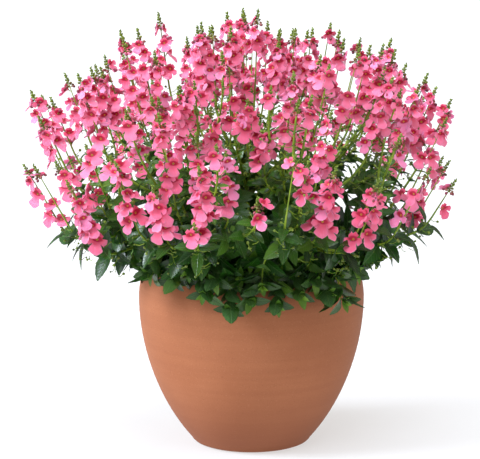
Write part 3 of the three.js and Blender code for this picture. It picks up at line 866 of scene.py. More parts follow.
def calyx_shape(name):
    """Five small sepals round the back of a flower, on the end of its stalk."""
    places = [(0, -0.6, 0), (0, 0.9, 0)]
    for k in range(2 * SEPALS):
        a = math.pi * k / SEPALS
        reach, forward = SEPAL_NOTCH if k % 2 else SEPAL_TIP
        places.append((reach * math.cos(a), forward, reach * math.sin(a)))
    faces = []
    for k in range(2 * SEPALS):
        here, there = 2 + k, 2 + (k + 1) % (2 * SEPALS)
        faces += [(0, here, there), (1, there, here)]
    spots = [(0.5, 0.5)] * sum(len(face) for face in faces)
    return shape_object(name, [Vector(p) * MM for p in places], faces, spots)


def shape_family(name, shapes):
    family = bpy.data.collections.new(name)
    for shape in shapes:
        family.objects.link(shape)
    return family


# Plan of a stem

class Plan:
    """Where everything on one stem grows: points with what grows there, and paths for its stalks."""

    def __init__(self):
        self.points = []
        self.edges = []
        self.values = {"what": [], "kind": [], "size": [], "thick": [], "age": [], "turn": []}

    def add(self, what, place, turn=None, size=0.0, kind=0, age=0.0, thick=0.0):
        self.points.append(place * MM)
        turn = turn or Quaternion()
        row = {"what": what, "kind": kind, "size": size, "thick": thick * MM, "age": age, "turn": turn}
        for name, value in row.items():
            self.values[name].append(value)

    def stalk(self, points, first, last, age=0.0):
        """A stalk along points, first thick at its foot and last at its end."""
        start = len(self.points)
        for i, point in enumerate(points):
            self.add(STALK, point, thick=lerp(first, last, i / (len(points) - 1)), age=age)
        self.edges += [(start + i, start + i + 1) for i in range(len(points) - 1)]

    def object(self, name):
        mesh = bpy.data.meshes.new(name)
        mesh.from_pydata(self.points, self.edges, [])
        types = {"what": "INT", "kind": "INT", "size": "FLOAT", "thick": "FLOAT", "age": "FLOAT"}
        for key, kind in types.items():
            mesh.attributes.new(key, kind, "POINT").data.foreach_set("value", self.values[key])
        turns = [part for turn in self.values["turn"] for part in turn]
        mesh.attributes.new("turn", "QUATERNION", "POINT").data.foreach_set("value", turns)
        return in_scene(name, mesh)


def oval_polar(azimuth, polar):
    """A little more to the left and right, and a little less to the front and back."""
    return polar * (1 + OVAL * math.cos(2 * math.radians(azimuth)))


def dome_place(azimuth, polar, reach):
    """The place of a spike's tip, from its angles about the fan point."""
    return FAN_POINT + direction(azimuth, polar) * reach


def seen_place(across, down, near):
    """The place that the photograph shows at a pixel, so many millimetres nearer than the pot's axis."""
    share = (FRAME_MIDDLE[1] - down) / VIEW_DISTANCE
    tilt = math.radians(VIEW_HEIGHT)
    rise = share * (VIEW_DISTANCE - near * math.cos(tilt)) + near * math.sin(tilt)
    rise /= math.cos(tilt) + share * math.sin(tilt)
    depth = VIEW_DISTANCE - near * math.cos(tilt) - rise * math.sin(tilt)
    return VIEW_TARGET + Vector(((across - FRAME_MIDDLE[0]) / VIEW_DISTANCE * depth, -near, rise))


def seen_pixel(place):
    """The pixel at which the photograph would show a place."""
    off = place - VIEW_TARGET
    tilt = math.radians(VIEW_HEIGHT)
    share = VIEW_DISTANCE / (VIEW_DISTANCE + off.y * math.cos(tilt) - off.z * math.sin(tilt))
    rise = off.y * math.sin(tilt) + off.z * math.cos(tilt)
    return FRAME_MIDDLE[0] + off.x * share, FRAME_MIDDLE[1] - rise * share


def bare_share(place):
    """What share of the flowers is left out at a place."""
    across, down = seen_pixel(place)
    return max((
        share for x, y, radius, share in BARE_PLACES if math.hypot(across - x, down - y) < radius
    ), default=0)


def head_frame(tip, length):
    """A flower head: its foot, the way it leans, two ways across, its length and the way outwards."""
    level = Vector((tip.x - FAN_POINT.x, tip.y - FAN_POINT.y))
    azimuth = math.degrees(math.atan2(level.y, level.x))
    polar = math.degrees(math.atan2(level.length, tip.z - FAN_POINT.z))
    lean = direction(azimuth, polar * LEAN_SHARE)
    across = UP.cross(lean)
    if across.length < 0.08:
        across = Vector((0, 1, 0))
    across.normalize()
    right = across.cross(lean).normalized()
    return {
        "foot": tip - lean * (length + SPIKE_LENGTH), "lean": lean, "right": right,
        "front": lean.cross(right), "length": length,
        "outward": direction(azimuth, 90) * min(1, polar / OUTWARD_POLAR),
    }


def stem_path(root, rise, head, steps):
    """The bent path of a stem from its root, where it rises one way, to the foot of its head."""
    pull = (root - head["foot"]).length * BEND_PULL
    return bend([root, root + rise * pull, head["foot"] - head["lean"] * pull, head["foot"]], steps)


def on_path(path, share):
    """The place a share of the way along a path."""
    at = share * (len(path) - 1)
    step = min(int(at), len(path) - 2)
    return path[step].lerp(path[step + 1], at - step)


def grow_flowers(plan, head, seed):
    """The open flowers, each on a thin stalk, turned to the light and nodding a little."""
    length = head["length"] + RACEME_RISE
    count = round(length / RACEME_PITCH)
    low = (HIGH_HEAD - head["foot"].z - length) / (HIGH_HEAD - LOW_HEAD)
    low = min(max(low, 0), 1)
    bloom = lerp(HIGH_BLOOM, LOW_BLOOM, low)
    # A random tone for the head, plus painted light: heads high up get a paler tone, as if lit more from
    # above.
    age = draw(seed, 72) + lerp(HIGH_PAINTED_LIGHT, -HIGH_PAINTED_LIGHT, low)
    tip = head["foot"] + head["lean"] * (head["length"] + SPIKE_LENGTH)
    thin = abs(tip.x - FAN_POINT.x) > THIN_OUT and tip.z < THIN_UNDER
    gap = THIN_GAP_DRAW if thin else GAP_DRAW
    for i in range(count):
        if draw(seed + i, 69) > gap:
            continue
        share = i / count
        angle = GOLDEN_ANGLE * i + FLOWER_ROUND_VARIES * draw(seed + i, 60) + 40 * seed
        radial = around(head["right"], head["front"], angle)
        drawn = head["outward"] * OUTWARD_DRAWS + LIGHT * LIGHT_DRAWS
        radial = (radial + drawn).normalized()
        size = bloom * lerp(1, TOP_FLOWER_SHARE, share ** 1.5)
        size *= 1 + FLOWER_SIZE_VARIES * draw(seed + i, 61)
        out = PEDICEL_LENGTH * lerp(*PEDICEL_SHARES, share) * (1 + PEDICEL_VARIES * draw(seed + i, 62))
        axis = head["foot"] + head["lean"] * (length * (i + 0.8) / count)
        rise = FLOWER_RISE + FLOWER_RISE_VARIES * draw(seed + i, 63)
        centre = axis + radial * out + head["lean"] * rise
        if draw_share(seed + i, 71) < bare_share(centre):
            continue
        face = radial + drawn * FACE_DRAWS
        face += head["right"] * FACE_VARIES * draw(seed + i, 66)
        face += head["front"] * FACE_VARIES * draw(seed + i, 67)
        nod = math.radians(NOD + NOD_VARIES * draw(seed + i, 64))
        face = face.normalized() - UP * math.sin(nod)
        face.normalize()
        twist = Quaternion(face, math.radians(FLOWER_TWIST_VARIES * draw(seed + i, 65)))
        turn = twist @ turn_to(face, UP)
        kind = int(draw_share(seed + i, 68) * len(FLOWER_KINDS))
        plan.add(FLOWER, centre, turn, size, kind=kind, age=age)
        back = centre - face * FLOWER_BACK * size
        plan.add(CALYX, back, turn, size)
        middle = axis.lerp(back, 0.5) - UP * PEDICEL_SAG
        plan.stalk([axis, middle, back], PEDICEL_THICK * 1.2, PEDICEL_THICK, age=0.2)


def grow_buds(plan, head, seed):
    """Dark buds on short stalks above the flowers, then the tapering spike of green buds."""
    base = head["foot"] + head["lean"] * head["length"]
    for i in range(DARK_BUDS):
        share = i / DARK_BUDS
        radial = around(head["right"], head["front"], GOLDEN_ANGLE * (i + 3) + 30 * seed)
        axis = base + head["lean"] * lerp(RACEME_RISE - 2, GREEN_FROM, share)
        size = DARK_BUD_SIZE * lerp(*DARK_BUD_SHARES, share)
        size *= 1 + DARK_BUD_VARIES * draw(seed + i, 70)
        way = (radial - UP * 0.5).normalized()
        end = axis + radial * lerp(*DARK_BUD_STALKS, share)
        plan.add(BUD, end, turn_to(way, UP), size * MM, kind=0, age=lerp(1, 0.6, share))
        plan.stalk([axis, end], PEDICEL_THICK, PEDICEL_THICK * 0.8, age=0.4)
    for i in range(GREEN_BUDS):
        share = i / (GREEN_BUDS - 1)
        radial = around(head["right"], head["front"], GOLDEN_ANGLE * i + 50 * seed)
        axis = base + head["lean"] * lerp(GREEN_FROM, SPIKE_LENGTH - 2, share)
        size = GREEN_BUD_SIZE * lerp(*GREEN_BUD_SHARES, share)
        way = (radial + head["lean"] * lerp(0.3, 2.2, share)).normalized()
        start = axis + radial * 0.4
        age = max(0, 0.25 - share) * 1.6
        plan.add(BUD, start, turn_to(way, head["lean"]), size * MM, kind=1, age=age)


def grow_capsules(plan, path, seed):
    """Small green seed capsules on thin stalks, below the flowers."""
    down = (path[-2] - path[-1]).normalized()
    side = down.cross(Vector((1, 0, 0))).normalized()
    for i in range(CAPSULES):
        axis = path[-1] + down * CAPSULE_PITCH * (i + 0.4)
        radial = around(side, down.cross(side), GOLDEN_ANGLE * i + 70 * seed)
        out = CAPSULE_STALK * (1 + CAPSULE_STALK_VARIES * draw(seed + i, 80))
        end = axis + radial * out + UP * CAPSULE_RISE * (1 + draw(seed + i, 81))
        middle = axis.lerp(end, 0.55) - UP * CAPSULE_SAG
        plan.stalk([axis, middle, end], CAPSULE_STALK_THICK, CAPSULE_STALK_THICK)
        size = CAPSULE_SIZE * (1 + CAPSULE_SIZE_VARIES * draw(seed + i, 82))
        plan.add(BUD, end, turn_to(radial + UP * 0.4, UP), size * MM, kind=2)


def leaf_length(height):
    """Leaves are long low down and grow short and narrow up the stems."""
    share = (height - LEAFY_HEIGHT) / (SPARSE_HEIGHT - LEAFY_HEIGHT)
    return lerp(LEAF_LONG, LEAF_SHORT, min(max(share, 0), 1))


def grow_pair(plan, place, way, turned, length, seed, angle, age):
    """Two leaves opposite each other on a stalk that runs along way."""
    level = way.cross(UP)
    if level.length < 0.1:
        level = Vector((0, 1, 0))
    level.normalize()
    level.rotate(Quaternion(way, math.radians(turned)))
    rise = math.radians(angle)
    for side in (1, -1):
        along = level * side * math.cos(rise) + way * math.sin(rise)
        sag = 1 + LEAF_SAG_VARIES * draw(seed, 90 + side)
        along -= UP * LEAF_SAG * length / LEAF_LONG * sag
        size = length * (1 + LEAF_SIZE_VARIES * draw(seed, 92 + side))
        kind = 2 if length < 0.5 * LEAF_LONG else (seed + side) % 2
        plan.add(LEAF, place, turn_to(along, way), size * MM, kind=kind, age=age)


def grow_leaves(plan, path, seed, first=LEAVES_FROM, pitch=PAIR_PITCH):
    """Leaves in opposite pairs along a stem, each pair a quarter turn on from the one below."""
    total = sum((b - a).length for a, b in zip(path, path[1:]))
    count = int(total * (LEAVES_TO - first) / pitch)
    for i in range(count):
        share = lerp(first, LEAVES_TO, (i + 0.5) / count)
        place = on_path(path, share)
        way = (on_path(path, min(share + 0.03, 1)) - place).normalized()
        length = leaf_length(place.z)
        age = max(0, draw(seed + i, 95) - 0.6) + YOUNGER * (1 - length / LEAF_LONG)
        turned = 90 * (i % 2) + LEAF_TURN_VARIES * draw(seed + i, 96)
        grow_pair(plan, place, way, turned, length, seed + i, LEAF_ANGLE, age)


def grow_shoot(plan, start, over, end, seed):
    """A leafy shoot that ends in a rosette of small bright leaves."""
    path = bend([start, over, end], SHOOT_STEPS)
    plan.stalk(path, SHOOT_THICK, SHOOT_THICK * 0.6)
    grow_leaves(plan, path, seed, SHOOT_LEAVES_FROM, SHOOT_PAIR_PITCH)
    outward = Vector((end.x, end.y, 0)).normalized()
    way = (path[-1] - path[-2]).normalized() * ROSETTE_ALONG + outward * ROSETTE_OUT + UP * ROSETTE_UP
    way.normalize()
    for i, (size, angle, age) in enumerate(ROSETTE):
        place = end + way * ROSETTE_PITCH * i
        turned = 90 * i + 20 * draw(seed, 33 + i)
        grow_pair(plan, place, way, turned, LEAF_LONG * size, seed + i, angle, age)
    top = end + way * ROSETTE_PITCH * len(ROSETTE)
    plan.stalk([end, top], SHOOT_THICK * 0.6, SHOOT_THICK * 0.3)


def grow_head(plan, head, path, thick, seed):
    """A stem along its path, with its leaves, capsules, flowers and buds."""
    tip = head["foot"] + head["lean"] * (head["length"] + SPIKE_LENGTH - 1)
    plan.stalk(path, thick, AXIS_THICK)
    plan.stalk([head["foot"], head["foot"].lerp(tip, 0.5), tip], AXIS_THICK, SPIKE_TIP_THICK)
    grow_leaves(plan, path, seed)
    grow_capsules(plan, path, seed)
    grow_flowers(plan, head, seed)
    grow_buds(plan, head, seed)


def planned_heads(n, rule, azimuth, polar):
    """A stem's heads, its main one first: the tip, the flowers' length and where its stalk forks."""
    def reach(head_polar, j, spread):
        full = min(REACH, SIDE_OUT / math.sin(math.radians(head_polar)))
        return full, spread * draw(n, 20 + j)

    full, off = reach(polar, 0, SPREAD["reach"])
    heads = [(dome_place(azimuth, polar, full + off), FLOWERS_MAIN * FLOWER_PITCH, FORK)]
    for j, offset in enumerate(rule["sides"]):
        angle = azimuth + offset + SPREAD["side_azimuth"] * draw(n, 10 + j)
        lean = oval_polar(angle, rule["side_polar"] + SPREAD["side_polar"] * draw(n, 14 + j))
        full, off = reach(lean, 1 + j, SPREAD["reach"])
        tip = dome_place(angle, lean, full + off)
        heads.append((tip, FLOWERS_SIDE * FLOWER_PITCH, FORK))
    for j, (offset, lean, share, fork) in enumerate(rule["extra"]):
        angle = azimuth + offset + SPREAD["extra_azimuth"] * draw(n, 110 + j)
        lean = oval_polar(angle, lean + SPREAD["extra_polar"] * draw(n, 114 + j))
        if lean > OPEN_POLAR and OPEN_AZIMUTH[0] < (angle + 180) % 360 - 180 < OPEN_AZIMUTH[1]:
            continue
        full, off = reach(lean, 6 + j, SPREAD["extra_reach"])
        length = (FLOWERS_SIDE - 1 + draw(n, 120 + j)) * FLOWER_PITCH
        heads.append((dome_place(angle, lean, full * share + off), length, fork))
    for across, down, near, stem, length, fork in SEEN_HEADS:
        if stem == n:
            heads.append((seen_place(across, down, near), length, fork))
    for across, down, near, stem in SEEN_YOUNG:
        if stem == n:
            heads.append((seen_place(across, down, near), YOUNG_LENGTH, YOUNG_FORK))
    return heads


def planned_stem(n, ring, s):
    """Everything on the nth stem, the sth of its ring, and how many heads its solids have."""
    rule = RINGS[ring]
    azimuth = rule["start"] + 360 * s / rule["stems"] + SPREAD["azimuth"] * draw(n, 4)
    polar = oval_polar(azimuth, rule["polar"] + SPREAD["polar"] * draw(n, 5))
    plan = Plan()
    root = direction(azimuth, 90) * rule["base"]
    root.z = COMPOST_TOP + COMPOST_MOUND + ROOT_UP
    main = None
    for j, (tip, length, fork) in enumerate(planned_heads(n, rule, azimuth, polar)):
        head = head_frame(tip, length)
        if j == 0:
            main = stem_path(root, direction(azimuth, polar * RISE_SHARE), head, MAIN_STEPS)
            buried = root - UP * STEM_DEPTH
            plan.stalk([buried, root], ROOT_THICK * BURIED_TAPER, ROOT_THICK)
            grow_head(plan, head, main, ROOT_THICK, n * 7)
        else:
            start = on_path(main, fork)
            path = stem_path(start, (head["foot"] - start).normalized(), head, SIDE_STEPS)
            grow_head(plan, head, path, SIDE_THICK, n * 7 + 31 * j)
    for k, (offset, out, height) in enumerate(SHOOTS[ring]):
        seed = n * 13 + k
        start = on_path(main, SHOOT_STARTS[k])
        end = direction(azimuth + offset, 90) * (out + SHOOT_OUT_VARIES * draw(seed, 30))
        end.z = height + SHOOT_HEIGHT_VARIES * draw(seed, 31)
        grow_shoot(plan, start, start.lerp(end, SHOOT_CREST) + UP * SHOOT_LIFT, end, seed)
    for k, (across, down, near, stem) in enumerate(SEEN_SHOOTS):
        if stem == n:
            end = seen_place(across, down, near)
            grow_shoot(plan, on_path(main, HANG_START), end + UP * HANG_LIFT, end, n * 17 + k)
    return plan, len(rule["sides"]) + 1


# Trees that grow a plan

def new_tree(name, inputs):
    """A geometry tree with named inputs, which come back by name, and a maker for its nodes."""
    tree = bpy.data.node_groups.new(name, "GeometryNodeTree")
    tree.interface.new_socket("Geometry", in_out="OUTPUT", socket_type="NodeSocketGeometry")
    tree.interface.new_socket("Geometry", in_out="INPUT", socket_type="NodeSocketGeometry")
    for label, kind in inputs.items():
        tree.interface.new_socket(label, in_out="INPUT", socket_type=kind)
    maker = NodeMaker(tree)
    return tree, maker, maker.node("NodeGroupInput")


def named(maker, name, kind="FLOAT"):
    """What the plan gives each of its points under a name."""
    return maker.node("GeometryNodeInputNamedAttribute", {"data_type": kind}, {"Name": name})[0]


def random_number(maker, low, high, seed):
    inputs = {2: low, 3: high, "Seed": seed}
    return maker.node("FunctionNodeRandomValue", {"data_type": "FLOAT"}, inputs)[1]


def painted(maker, geometry, material):
    return maker.node("GeometryNodeSetMaterial", None, {"Geometry": geometry, "Material": material})


def joined(maker, *parts):
    together = maker.node("GeometryNodeJoinGeometry")
    for part in parts:
        maker.tree.links.new(part.link, together.node.inputs[0])
    return together


def set_out(maker, points, what, family, varies, seed, material):
    """A copy of one of the family's shapes at each point of the plan where it grows."""
    shapes = maker.node("GeometryNodeCollectionInfo", None, {
        "Collection": family, "Separate Children": True, "Reset Children": True,
    })
    spread = random_number(maker, -1.0, 1.0, seed)
    copies = maker.node("GeometryNodeInstanceOnPoints", None, {
        "Points": points,
        "Selection": named(maker, "what", "INT").equals(what),
        "Instance": shapes,
        "Pick Instance": True,
        "Instance Index": named(maker, "kind", "INT"),
        "Rotation": named(maker, "turn", "QUATERNION"),
        "Scale": named(maker, "size") * (1 + spread * varies),
    })
    real = maker.node("GeometryNodeRealizeInstances", None, {"Geometry": copies})
    return painted(maker, real, material)


def tinted(maker, points, seed):
    """The points with a tint from -1 to 1 each, which the materials read."""
    settings = {"data_type": "FLOAT", "domain": "POINT"}
    inputs = {"Geometry": points, "Name": "tint", "Value": random_number(maker, -1.0, 1.0, seed)}
    return maker.node("GeometryNodeStoreNamedAttribute", settings, inputs)


def greenery_tree():
    """Grows a plan's stalks, leaves, buds and sepals."""
    tree, maker, given = new_tree("greenery", {
        "Stalk sides": "NodeSocketInt", "Size varies": "NodeSocketFloat", "Seed": "NodeSocketInt",
        "Leaves": "NodeSocketCollection", "Buds": "NodeSocketCollection",
        "Sepals": "NodeSocketCollection", "Stalk": "NodeSocketMaterial",
        "Leaf": "NodeSocketMaterial", "Bud": "NodeSocketMaterial",
    })
    points = tinted(maker, given["Geometry"], given["Seed"])
    paths = maker.node("GeometryNodeMeshToCurve", None, {"Mesh": points})
    outline = maker.node("GeometryNodeCurvePrimitiveCircle", None, {
        "Resolution": given["Stalk sides"], "Radius": 1,
    })
    stalks = maker.node("GeometryNodeCurveToMesh", None, {
        "Curve": paths, "Profile Curve": outline, "Scale": named(maker, "thick"), "Fill Caps": True,
    })
    stalks = painted(maker, stalks, given["Stalk"])
    varies, seed = given["Size varies"], given["Seed"]
    leaves = set_out(maker, points, LEAF, given["Leaves"], varies, seed, given["Leaf"])
    buds = set_out(maker, points, BUD, given["Buds"], varies, seed, given["Bud"])
    sepals = set_out(maker, points, CALYX, given["Sepals"], 0.0, seed, given["Bud"])
    together = joined(maker, stalks[0], leaves[0], buds[0], sepals[0])
    maker.node("NodeGroupOutput", None, {"Geometry": together})
    return tree


def bloom_tree():
    """Grows a plan's flowers."""
    tree, maker, given = new_tree("blooms", {
        "Size varies": "NodeSocketFloat", "Seed": "NodeSocketInt",
        "Flowers": "NodeSocketCollection", "Petal": "NodeSocketMaterial",
    })
    points = tinted(maker, given["Geometry"], given["Seed"])
    varies, seed = given["Size varies"], given["Seed"]
    flowers = set_out(maker, points, FLOWER, given["Flowers"], varies, seed, given["Petal"])
    maker.node("NodeGroupOutput", None, {"Geometry": flowers})
    return tree


def crumb_tree():
    """Scatters crumbs over the upward faces of a piece, which stays as it is under them."""
    tree, maker, given = new_tree("crumbs", {
        "Crumbs per square metre": "NodeSocketFloat", "Crumb size": "NodeSocketFloat",
        "Seed": "NodeSocketInt", "Crumb": "NodeSocketObject", "Soil": "NodeSocketMaterial",
    })
    normal = maker.node("GeometryNodeInputNormal")
    upward = maker.node("ShaderNodeSeparateXYZ", None, {0: normal})[2] > 0.6
    points = maker.node("GeometryNodeDistributePointsOnFaces", None, {
        "Mesh": given["Geometry"], "Selection": upward, "Seed": given["Seed"],
        "Density": given["Crumbs per square metre"],
    })
    size = random_number(maker, 0.4, 1.3, given["Seed"])
    turns = {0: (0.0, 0.0, 0.0), 1: (6.0, 6.0, 6.0), "Seed": given["Seed"]}
    turn = maker.node("FunctionNodeRandomValue", {"data_type": "FLOAT_VECTOR"}, turns)[0]
    crumb = maker.node("GeometryNodeObjectInfo", None, {"Object": given["Crumb"], "As Instance": True})
    crumbs = maker.node("GeometryNodeInstanceOnPoints", None, {
        "Points": points, "Instance": crumb["Geometry"], "Rotation": turn,
        "Scale": size * given["Crumb size"],
    })
    together = joined(maker, given["Geometry"], crumbs[0])
    real = maker.node("GeometryNodeRealizeInstances", None, {"Geometry": together})
    maker.node("NodeGroupOutput", None, {"Geometry": painted(maker, real, given["Soil"])})
    return tree


def grown(piece, name, tree, inputs):
    """A new plain-mesh object with what the tree makes of piece."""
    modifier = piece.modifiers.new("grow", "NODES")
    modifier.node_group = tree
    for item in tree.interface.items_tree:
        if item.in_out == "INPUT" and item.name in inputs:
            modifier[item.identifier] = inputs[item.name]
    depsgraph = bpy.context.evaluated_depsgraph_get()
    mesh = bpy.data.meshes.new_from_object(piece.evaluated_get(depsgraph))
    mesh.name = name
    piece.modifiers.remove(modifier)
    return in_scene(name, mesh)


def settle(piece, nodes):
    """The piece stands for the solids and on their body."""
    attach(piece, "root")
    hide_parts(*nodes)


# Pieces

def lathe(name, profile, segments, ripple):
    """A closed round body from a profile that starts and ends on the axis, in millimetres."""
    places = [(0, 0, profile[0][1])]
    for radius, z in profile[1:-1]:
        for k in range(segments):
            a = 2 * math.pi * k / segments
            r, h = ripple(radius, a, z)
            places.append((r * math.cos(a), r * math.sin(a), h))
    places.append((0, 0, ripple(0, 0, profile[-1][1])[1]))
    rows = len(profile) - 2
    top = len(places) - 1
    faces = []
    for k in range(segments):
        j = (k + 1) % segments
        faces.append((0, 1 + j, 1 + k))
        faces.append((top, top - segments + k, top - segments + j))
        for row in range(rows - 1):
            low = 1 + row * segments
            faces.append((low + k, low + j, low + segments + j, low + segments + k))
    mesh = bpy.data.meshes.new(name)
    mesh.from_pydata([Vector(p) * MM for p in places], [], faces)
    mesh.shade_smooth()
    return in_scene(name, mesh)


def wall_profile():
    """The pot's outer wall, from its heel up to below its lip, as radius and height."""
    def corner(radius, z):
        return Vector((radius, z))

    pull = (HEEL_RADIUS + HEEL_PULL * HEEL_SLOPE[0], HEEL_HEIGHT + HEEL_PULL * HEEL_SLOPE[1])
    lower = bend([
        corner(HEEL_RADIUS, HEEL_HEIGHT), corner(*pull),
        corner(BELLY_RADIUS, BELLY_HEIGHT - BELLY_PULL), corner(BELLY_RADIUS, BELLY_HEIGHT),
    ], WALL_STEPS)
    lip = POT_HEIGHT - WALL / 2
    upper = bend([
        corner(BELLY_RADIUS, BELLY_HEIGHT), corner(BELLY_RADIUS, (BELLY_HEIGHT + lip) / 2),
        corner(RIM_RADIUS, lip),
    ], LIP_STEPS)
    return [tuple(p) for p in lower + upper[1:]]


def pot_piece():
    """The thrown pot: flat foot, rounded heel, egg-shaped wall, rounded lip and hollow inside, with
    faint bands from the wheel and a wall that is a trace out of round."""
    wall = wall_profile()
    heel = [(FOOT_RADIUS, 0.0), *((FOOT_RADIUS + out, z) for out, z in HEEL_ROUND)]
    middle = RIM_RADIUS - WALL / 2
    top = POT_HEIGHT - WALL / 2
    lip = [
        (middle + WALL / 2 * math.cos(math.radians(a)), top + WALL / 2 * math.sin(math.radians(a)))
        for a in range(20, 180, 20)
    ]
    inside = [(radius - WALL, z) for radius, z in reversed(wall) if z > POT_FLOOR + WALL]
    foot = HEEL_RADIUS - WALL
    bottom = [(foot + INSIDE_ROUND[0], POT_FLOOR + INSIDE_ROUND[1]), (foot, POT_FLOOR)]
    profile = [(0, 0), (FOOT_RADIUS * 0.5, 0), *heel, *wall, *lip, *inside, *bottom, (0, POT_FLOOR)]

    def ripple(radius, angle, z):
        if z < 1 or radius < HEEL_RADIUS:
            return radius, z
        wave = math.sin(2 * math.pi * z / BAND_PITCH + 1.5 * math.sin(z / 13) + 0.4 * math.sin(angle))
        wobble = WOBBLE * math.sin(angle + 0.6) * z / POT_HEIGHT
        return radius + BAND_DEPTH * wave + wobble, z

    piece = lathe("clay_pot", profile, POT_SEGMENTS, ripple)
    piece.data.materials.append(terracotta_material())
    settle(piece, ["pot"])


def compost_piece():
    """The compost, filling the pot to its crumbly top."""
    def inner(z):
        wall = wall_profile()
        below = [p for p in wall if p[1] < z][-1]
        above = [p for p in wall if p[1] >= z][0]
        share = (z - below[1]) / (above[1] - below[1])
        return lerp(below[0], above[0], share) - WALL - COMPOST_GAP

    bottom = POT_FLOOR + COMPOST_GAP
    edge = inner(COMPOST_TOP)
    sides = [(inner(z), z) for z in COMPOST_LEVELS]
    top = []
    for i in range(COMPOST_RINGS):
        share = 1 - i / COMPOST_RINGS
        rise = COMPOST_MOUND * (1 - share * share)
        top.append(((edge - COMPOST_SHOULDER) * share, COMPOST_TOP + rise))
    profile = [(0, bottom), (HEEL_RADIUS - WALL - COMPOST_GAP, bottom), *sides, *top]
    profile.append((0, COMPOST_TOP + COMPOST_MOUND))

    def ripple(radius, angle, z):
        if z < COMPOST_TOP - 0.5:
            return radius, z
        place = Vector((radius * math.cos(angle), radius * math.sin(angle), 0))
        lumps = noise.noise(place * 0.12) + 0.5 * noise.noise(place * 0.31)
        return radius, z + COMPOST_LUMPS * lumps - 1

    body = lathe("compost_body", profile, COMPOST_SEGMENTS, ripple)
    crumb = crumb_object()
    piece = grown(body, "compost_crumbly", crumb_tree(), {
        "Crumbs per square metre": 26000.0, "Crumb size": 0.0016, "Seed": 11,
        "Crumb": crumb, "Soil": compost_material(),
    })
    bpy.data.objects.remove(body)
    bpy.data.objects.remove(crumb)
    settle(piece, ["compost"])


def crumb_object():
    """A rough crumb, one unit in radius."""
    middle = (1 + 5 ** 0.5) / 2
    corners = []
    for a in (-1, 1):
        for b in (-middle, middle):
            corners += [Vector((0, a, b)), Vector((a, b, 0)), Vector((b, 0, a))]
    corners = [c.normalized() * (1 + 0.3 * draw(i, 3)) for i, c in enumerate(corners)]
    cluster = bmesh.new()
    for corner in corners:
        cluster.verts.new(corner)
    bmesh.ops.convex_hull(cluster, input=cluster.verts)
    mesh = bpy.data.meshes.new("crumb")
    cluster.to_mesh(mesh)
    cluster.free()
    return bpy.data.objects.new("crumb", mesh)


def shape_families():
    """The flowers, leaves, buds and sepals that the trees set out."""
    flowers = shape_family("flowers", [
        flower_shape(f"flower_{i}", kind, i) for i, kind in enumerate(FLOWER_KINDS)
    ])
    leaves = shape_family("leaves", [
        leaf_shape(f"leaf_{i}", *kind, i + 1) for i, kind in enumerate(LEAF_KINDS)
    ])
    buds = shape_family("buds", [
        bud_shape(f"bud_{i}", *kind) for i, kind in enumerate(BUD_KINDS)
    ])
    sepals = shape_family("sepals", [calyx_shape("calyx_0")])
    return flowers, leaves, buds, sepals


def plant_pieces():
    """Two pieces for each branching stem: its greenery and its blooms."""
    flowers, leaves, buds, sepals = shape_families()
    greenery, blooms = greenery_tree(), bloom_tree()
    green_inputs = {
        "Stalk sides": 4, "Size varies": 0.12, "Leaves": leaves, "Buds": buds, "Sepals": sepals,
        "Stalk": stalk_material(), "Leaf": leaf_material(), "Bud": bud_material(),
    }
    bloom_inputs = {"Size varies": 0.07, "Flowers": flowers, "Petal": petal_material()}
    n = 0
    for ring, rule in enumerate(RINGS):
        for s in range(rule["stems"]):
            n += 1
            plan, heads = planned_stem(n, ring, s)
            points = plan.object(f"plan_{n}")
            green = grown(points, f"greenery_{n}", greenery, {**green_inputs, "Seed": n})
            pink = grown(points, f"blooms_{n}", blooms, {**bloom_inputs, "Seed": n})
            bpy.data.objects.remove(points)
            settle(green, [f"stem_{n}"])
            settle(pink, [f"flowers_{n}_{j}" for j in range(heads)])
    for family in (flowers, leaves, buds, sepals):
        for shape in list(family.objects):
            bpy.data.objects.remove(shape)
        bpy.data.collections.remove(family)


# Setting

FLOOR_HALF = 6.0
FLOOR_DROP = 0.0004
FLOOR_GLOW = 0.6
ROOM_LIGHT = 0.48
ROOM_COLOUR = (1, 0.91, 0.8, 1)
SUN_COLOUR = (0.91, 0.99, 1.14)


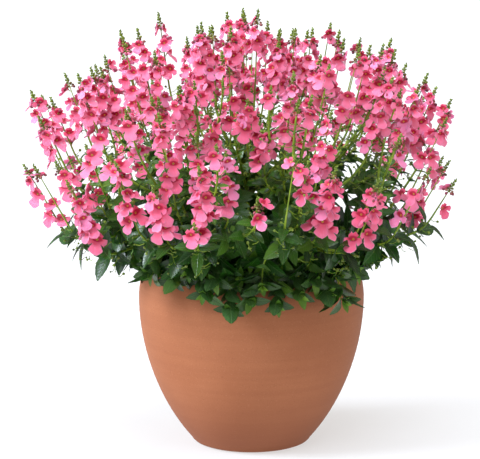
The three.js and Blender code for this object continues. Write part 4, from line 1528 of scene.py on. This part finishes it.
def floor_piece():
    """A pale floor that glows a little, so that the shadow on it stays faint."""
    mesh = bpy.data.meshes.new("floor")
    corners = [(-1, -1), (1, -1), (1, 1), (-1, 1)]
    places = [(x * FLOOR_HALF, y * FLOOR_HALF, -FLOOR_DROP) for x, y in corners]
    mesh.from_pydata(places, [], [(0, 1, 2, 3)])
    floor = in_scene("floor", mesh)
    constants = {"Roughness": 0.9, "Specular IOR Level": 0.1, "Emission Strength": FLOOR_GLOW}
    material, maker, shader = new_material("floor", constants)
    maker.feed(shader["Base Color"], maker.mix(maker.noise(3), srgb(152, 152, 152), srgb(158, 158, 158)))
    shader["Emission Color"].default_value = (1, 1, 1, 1)
    mesh.materials.append(material)


def sun(name, azimuth, height, energy, softness):
    """A soft distant light, by the angle round and above the horizon that it comes from."""
    light = bpy.data.lights.new(name, "SUN")
    light.energy = energy
    light.color = SUN_COLOUR
    light.angle = math.radians(softness)
    lamp = in_scene(name, light)
    lamp.rotation_mode = "QUATERNION"
    lamp.rotation_quaternion = direction(azimuth, 90 - height).to_track_quat("Z", "Y")


def lighting():
    """A soft key from the left, a little light from above, and a warm white room."""
    sun("key", -164, 33, 4.1, 24)
    sun("top", -84, 72, 2.7, 40)
    world = bpy.data.worlds.new("room")
    world.use_nodes = True
    background = world.node_tree.nodes["Background"]
    background.inputs["Color"].default_value = ROOM_COLOUR
    background.inputs["Strength"].default_value = ROOM_LIGHT
    bpy.context.scene.world = world


def camera():
    """The photograph's view, from a little above."""
    data = bpy.data.cameras.new("camera")
    data.lens = VIEW_LENS
    data.sensor_width = VIEW_SENSOR
    data.clip_end = VIEW_CLIP
    view = in_scene("camera", data)
    back = direction(-90, 90 - VIEW_HEIGHT)
    view.location = (VIEW_TARGET + back * VIEW_DISTANCE) * MM
    view.rotation_euler = back.to_track_quat("Z", "Y").to_euler()
    bpy.context.scene.camera = view
    bpy.context.scene.view_settings.view_transform = "Standard"


camera()
lighting()
floor_piece()
pot_piece()
compost_piece()
plant_pieces()
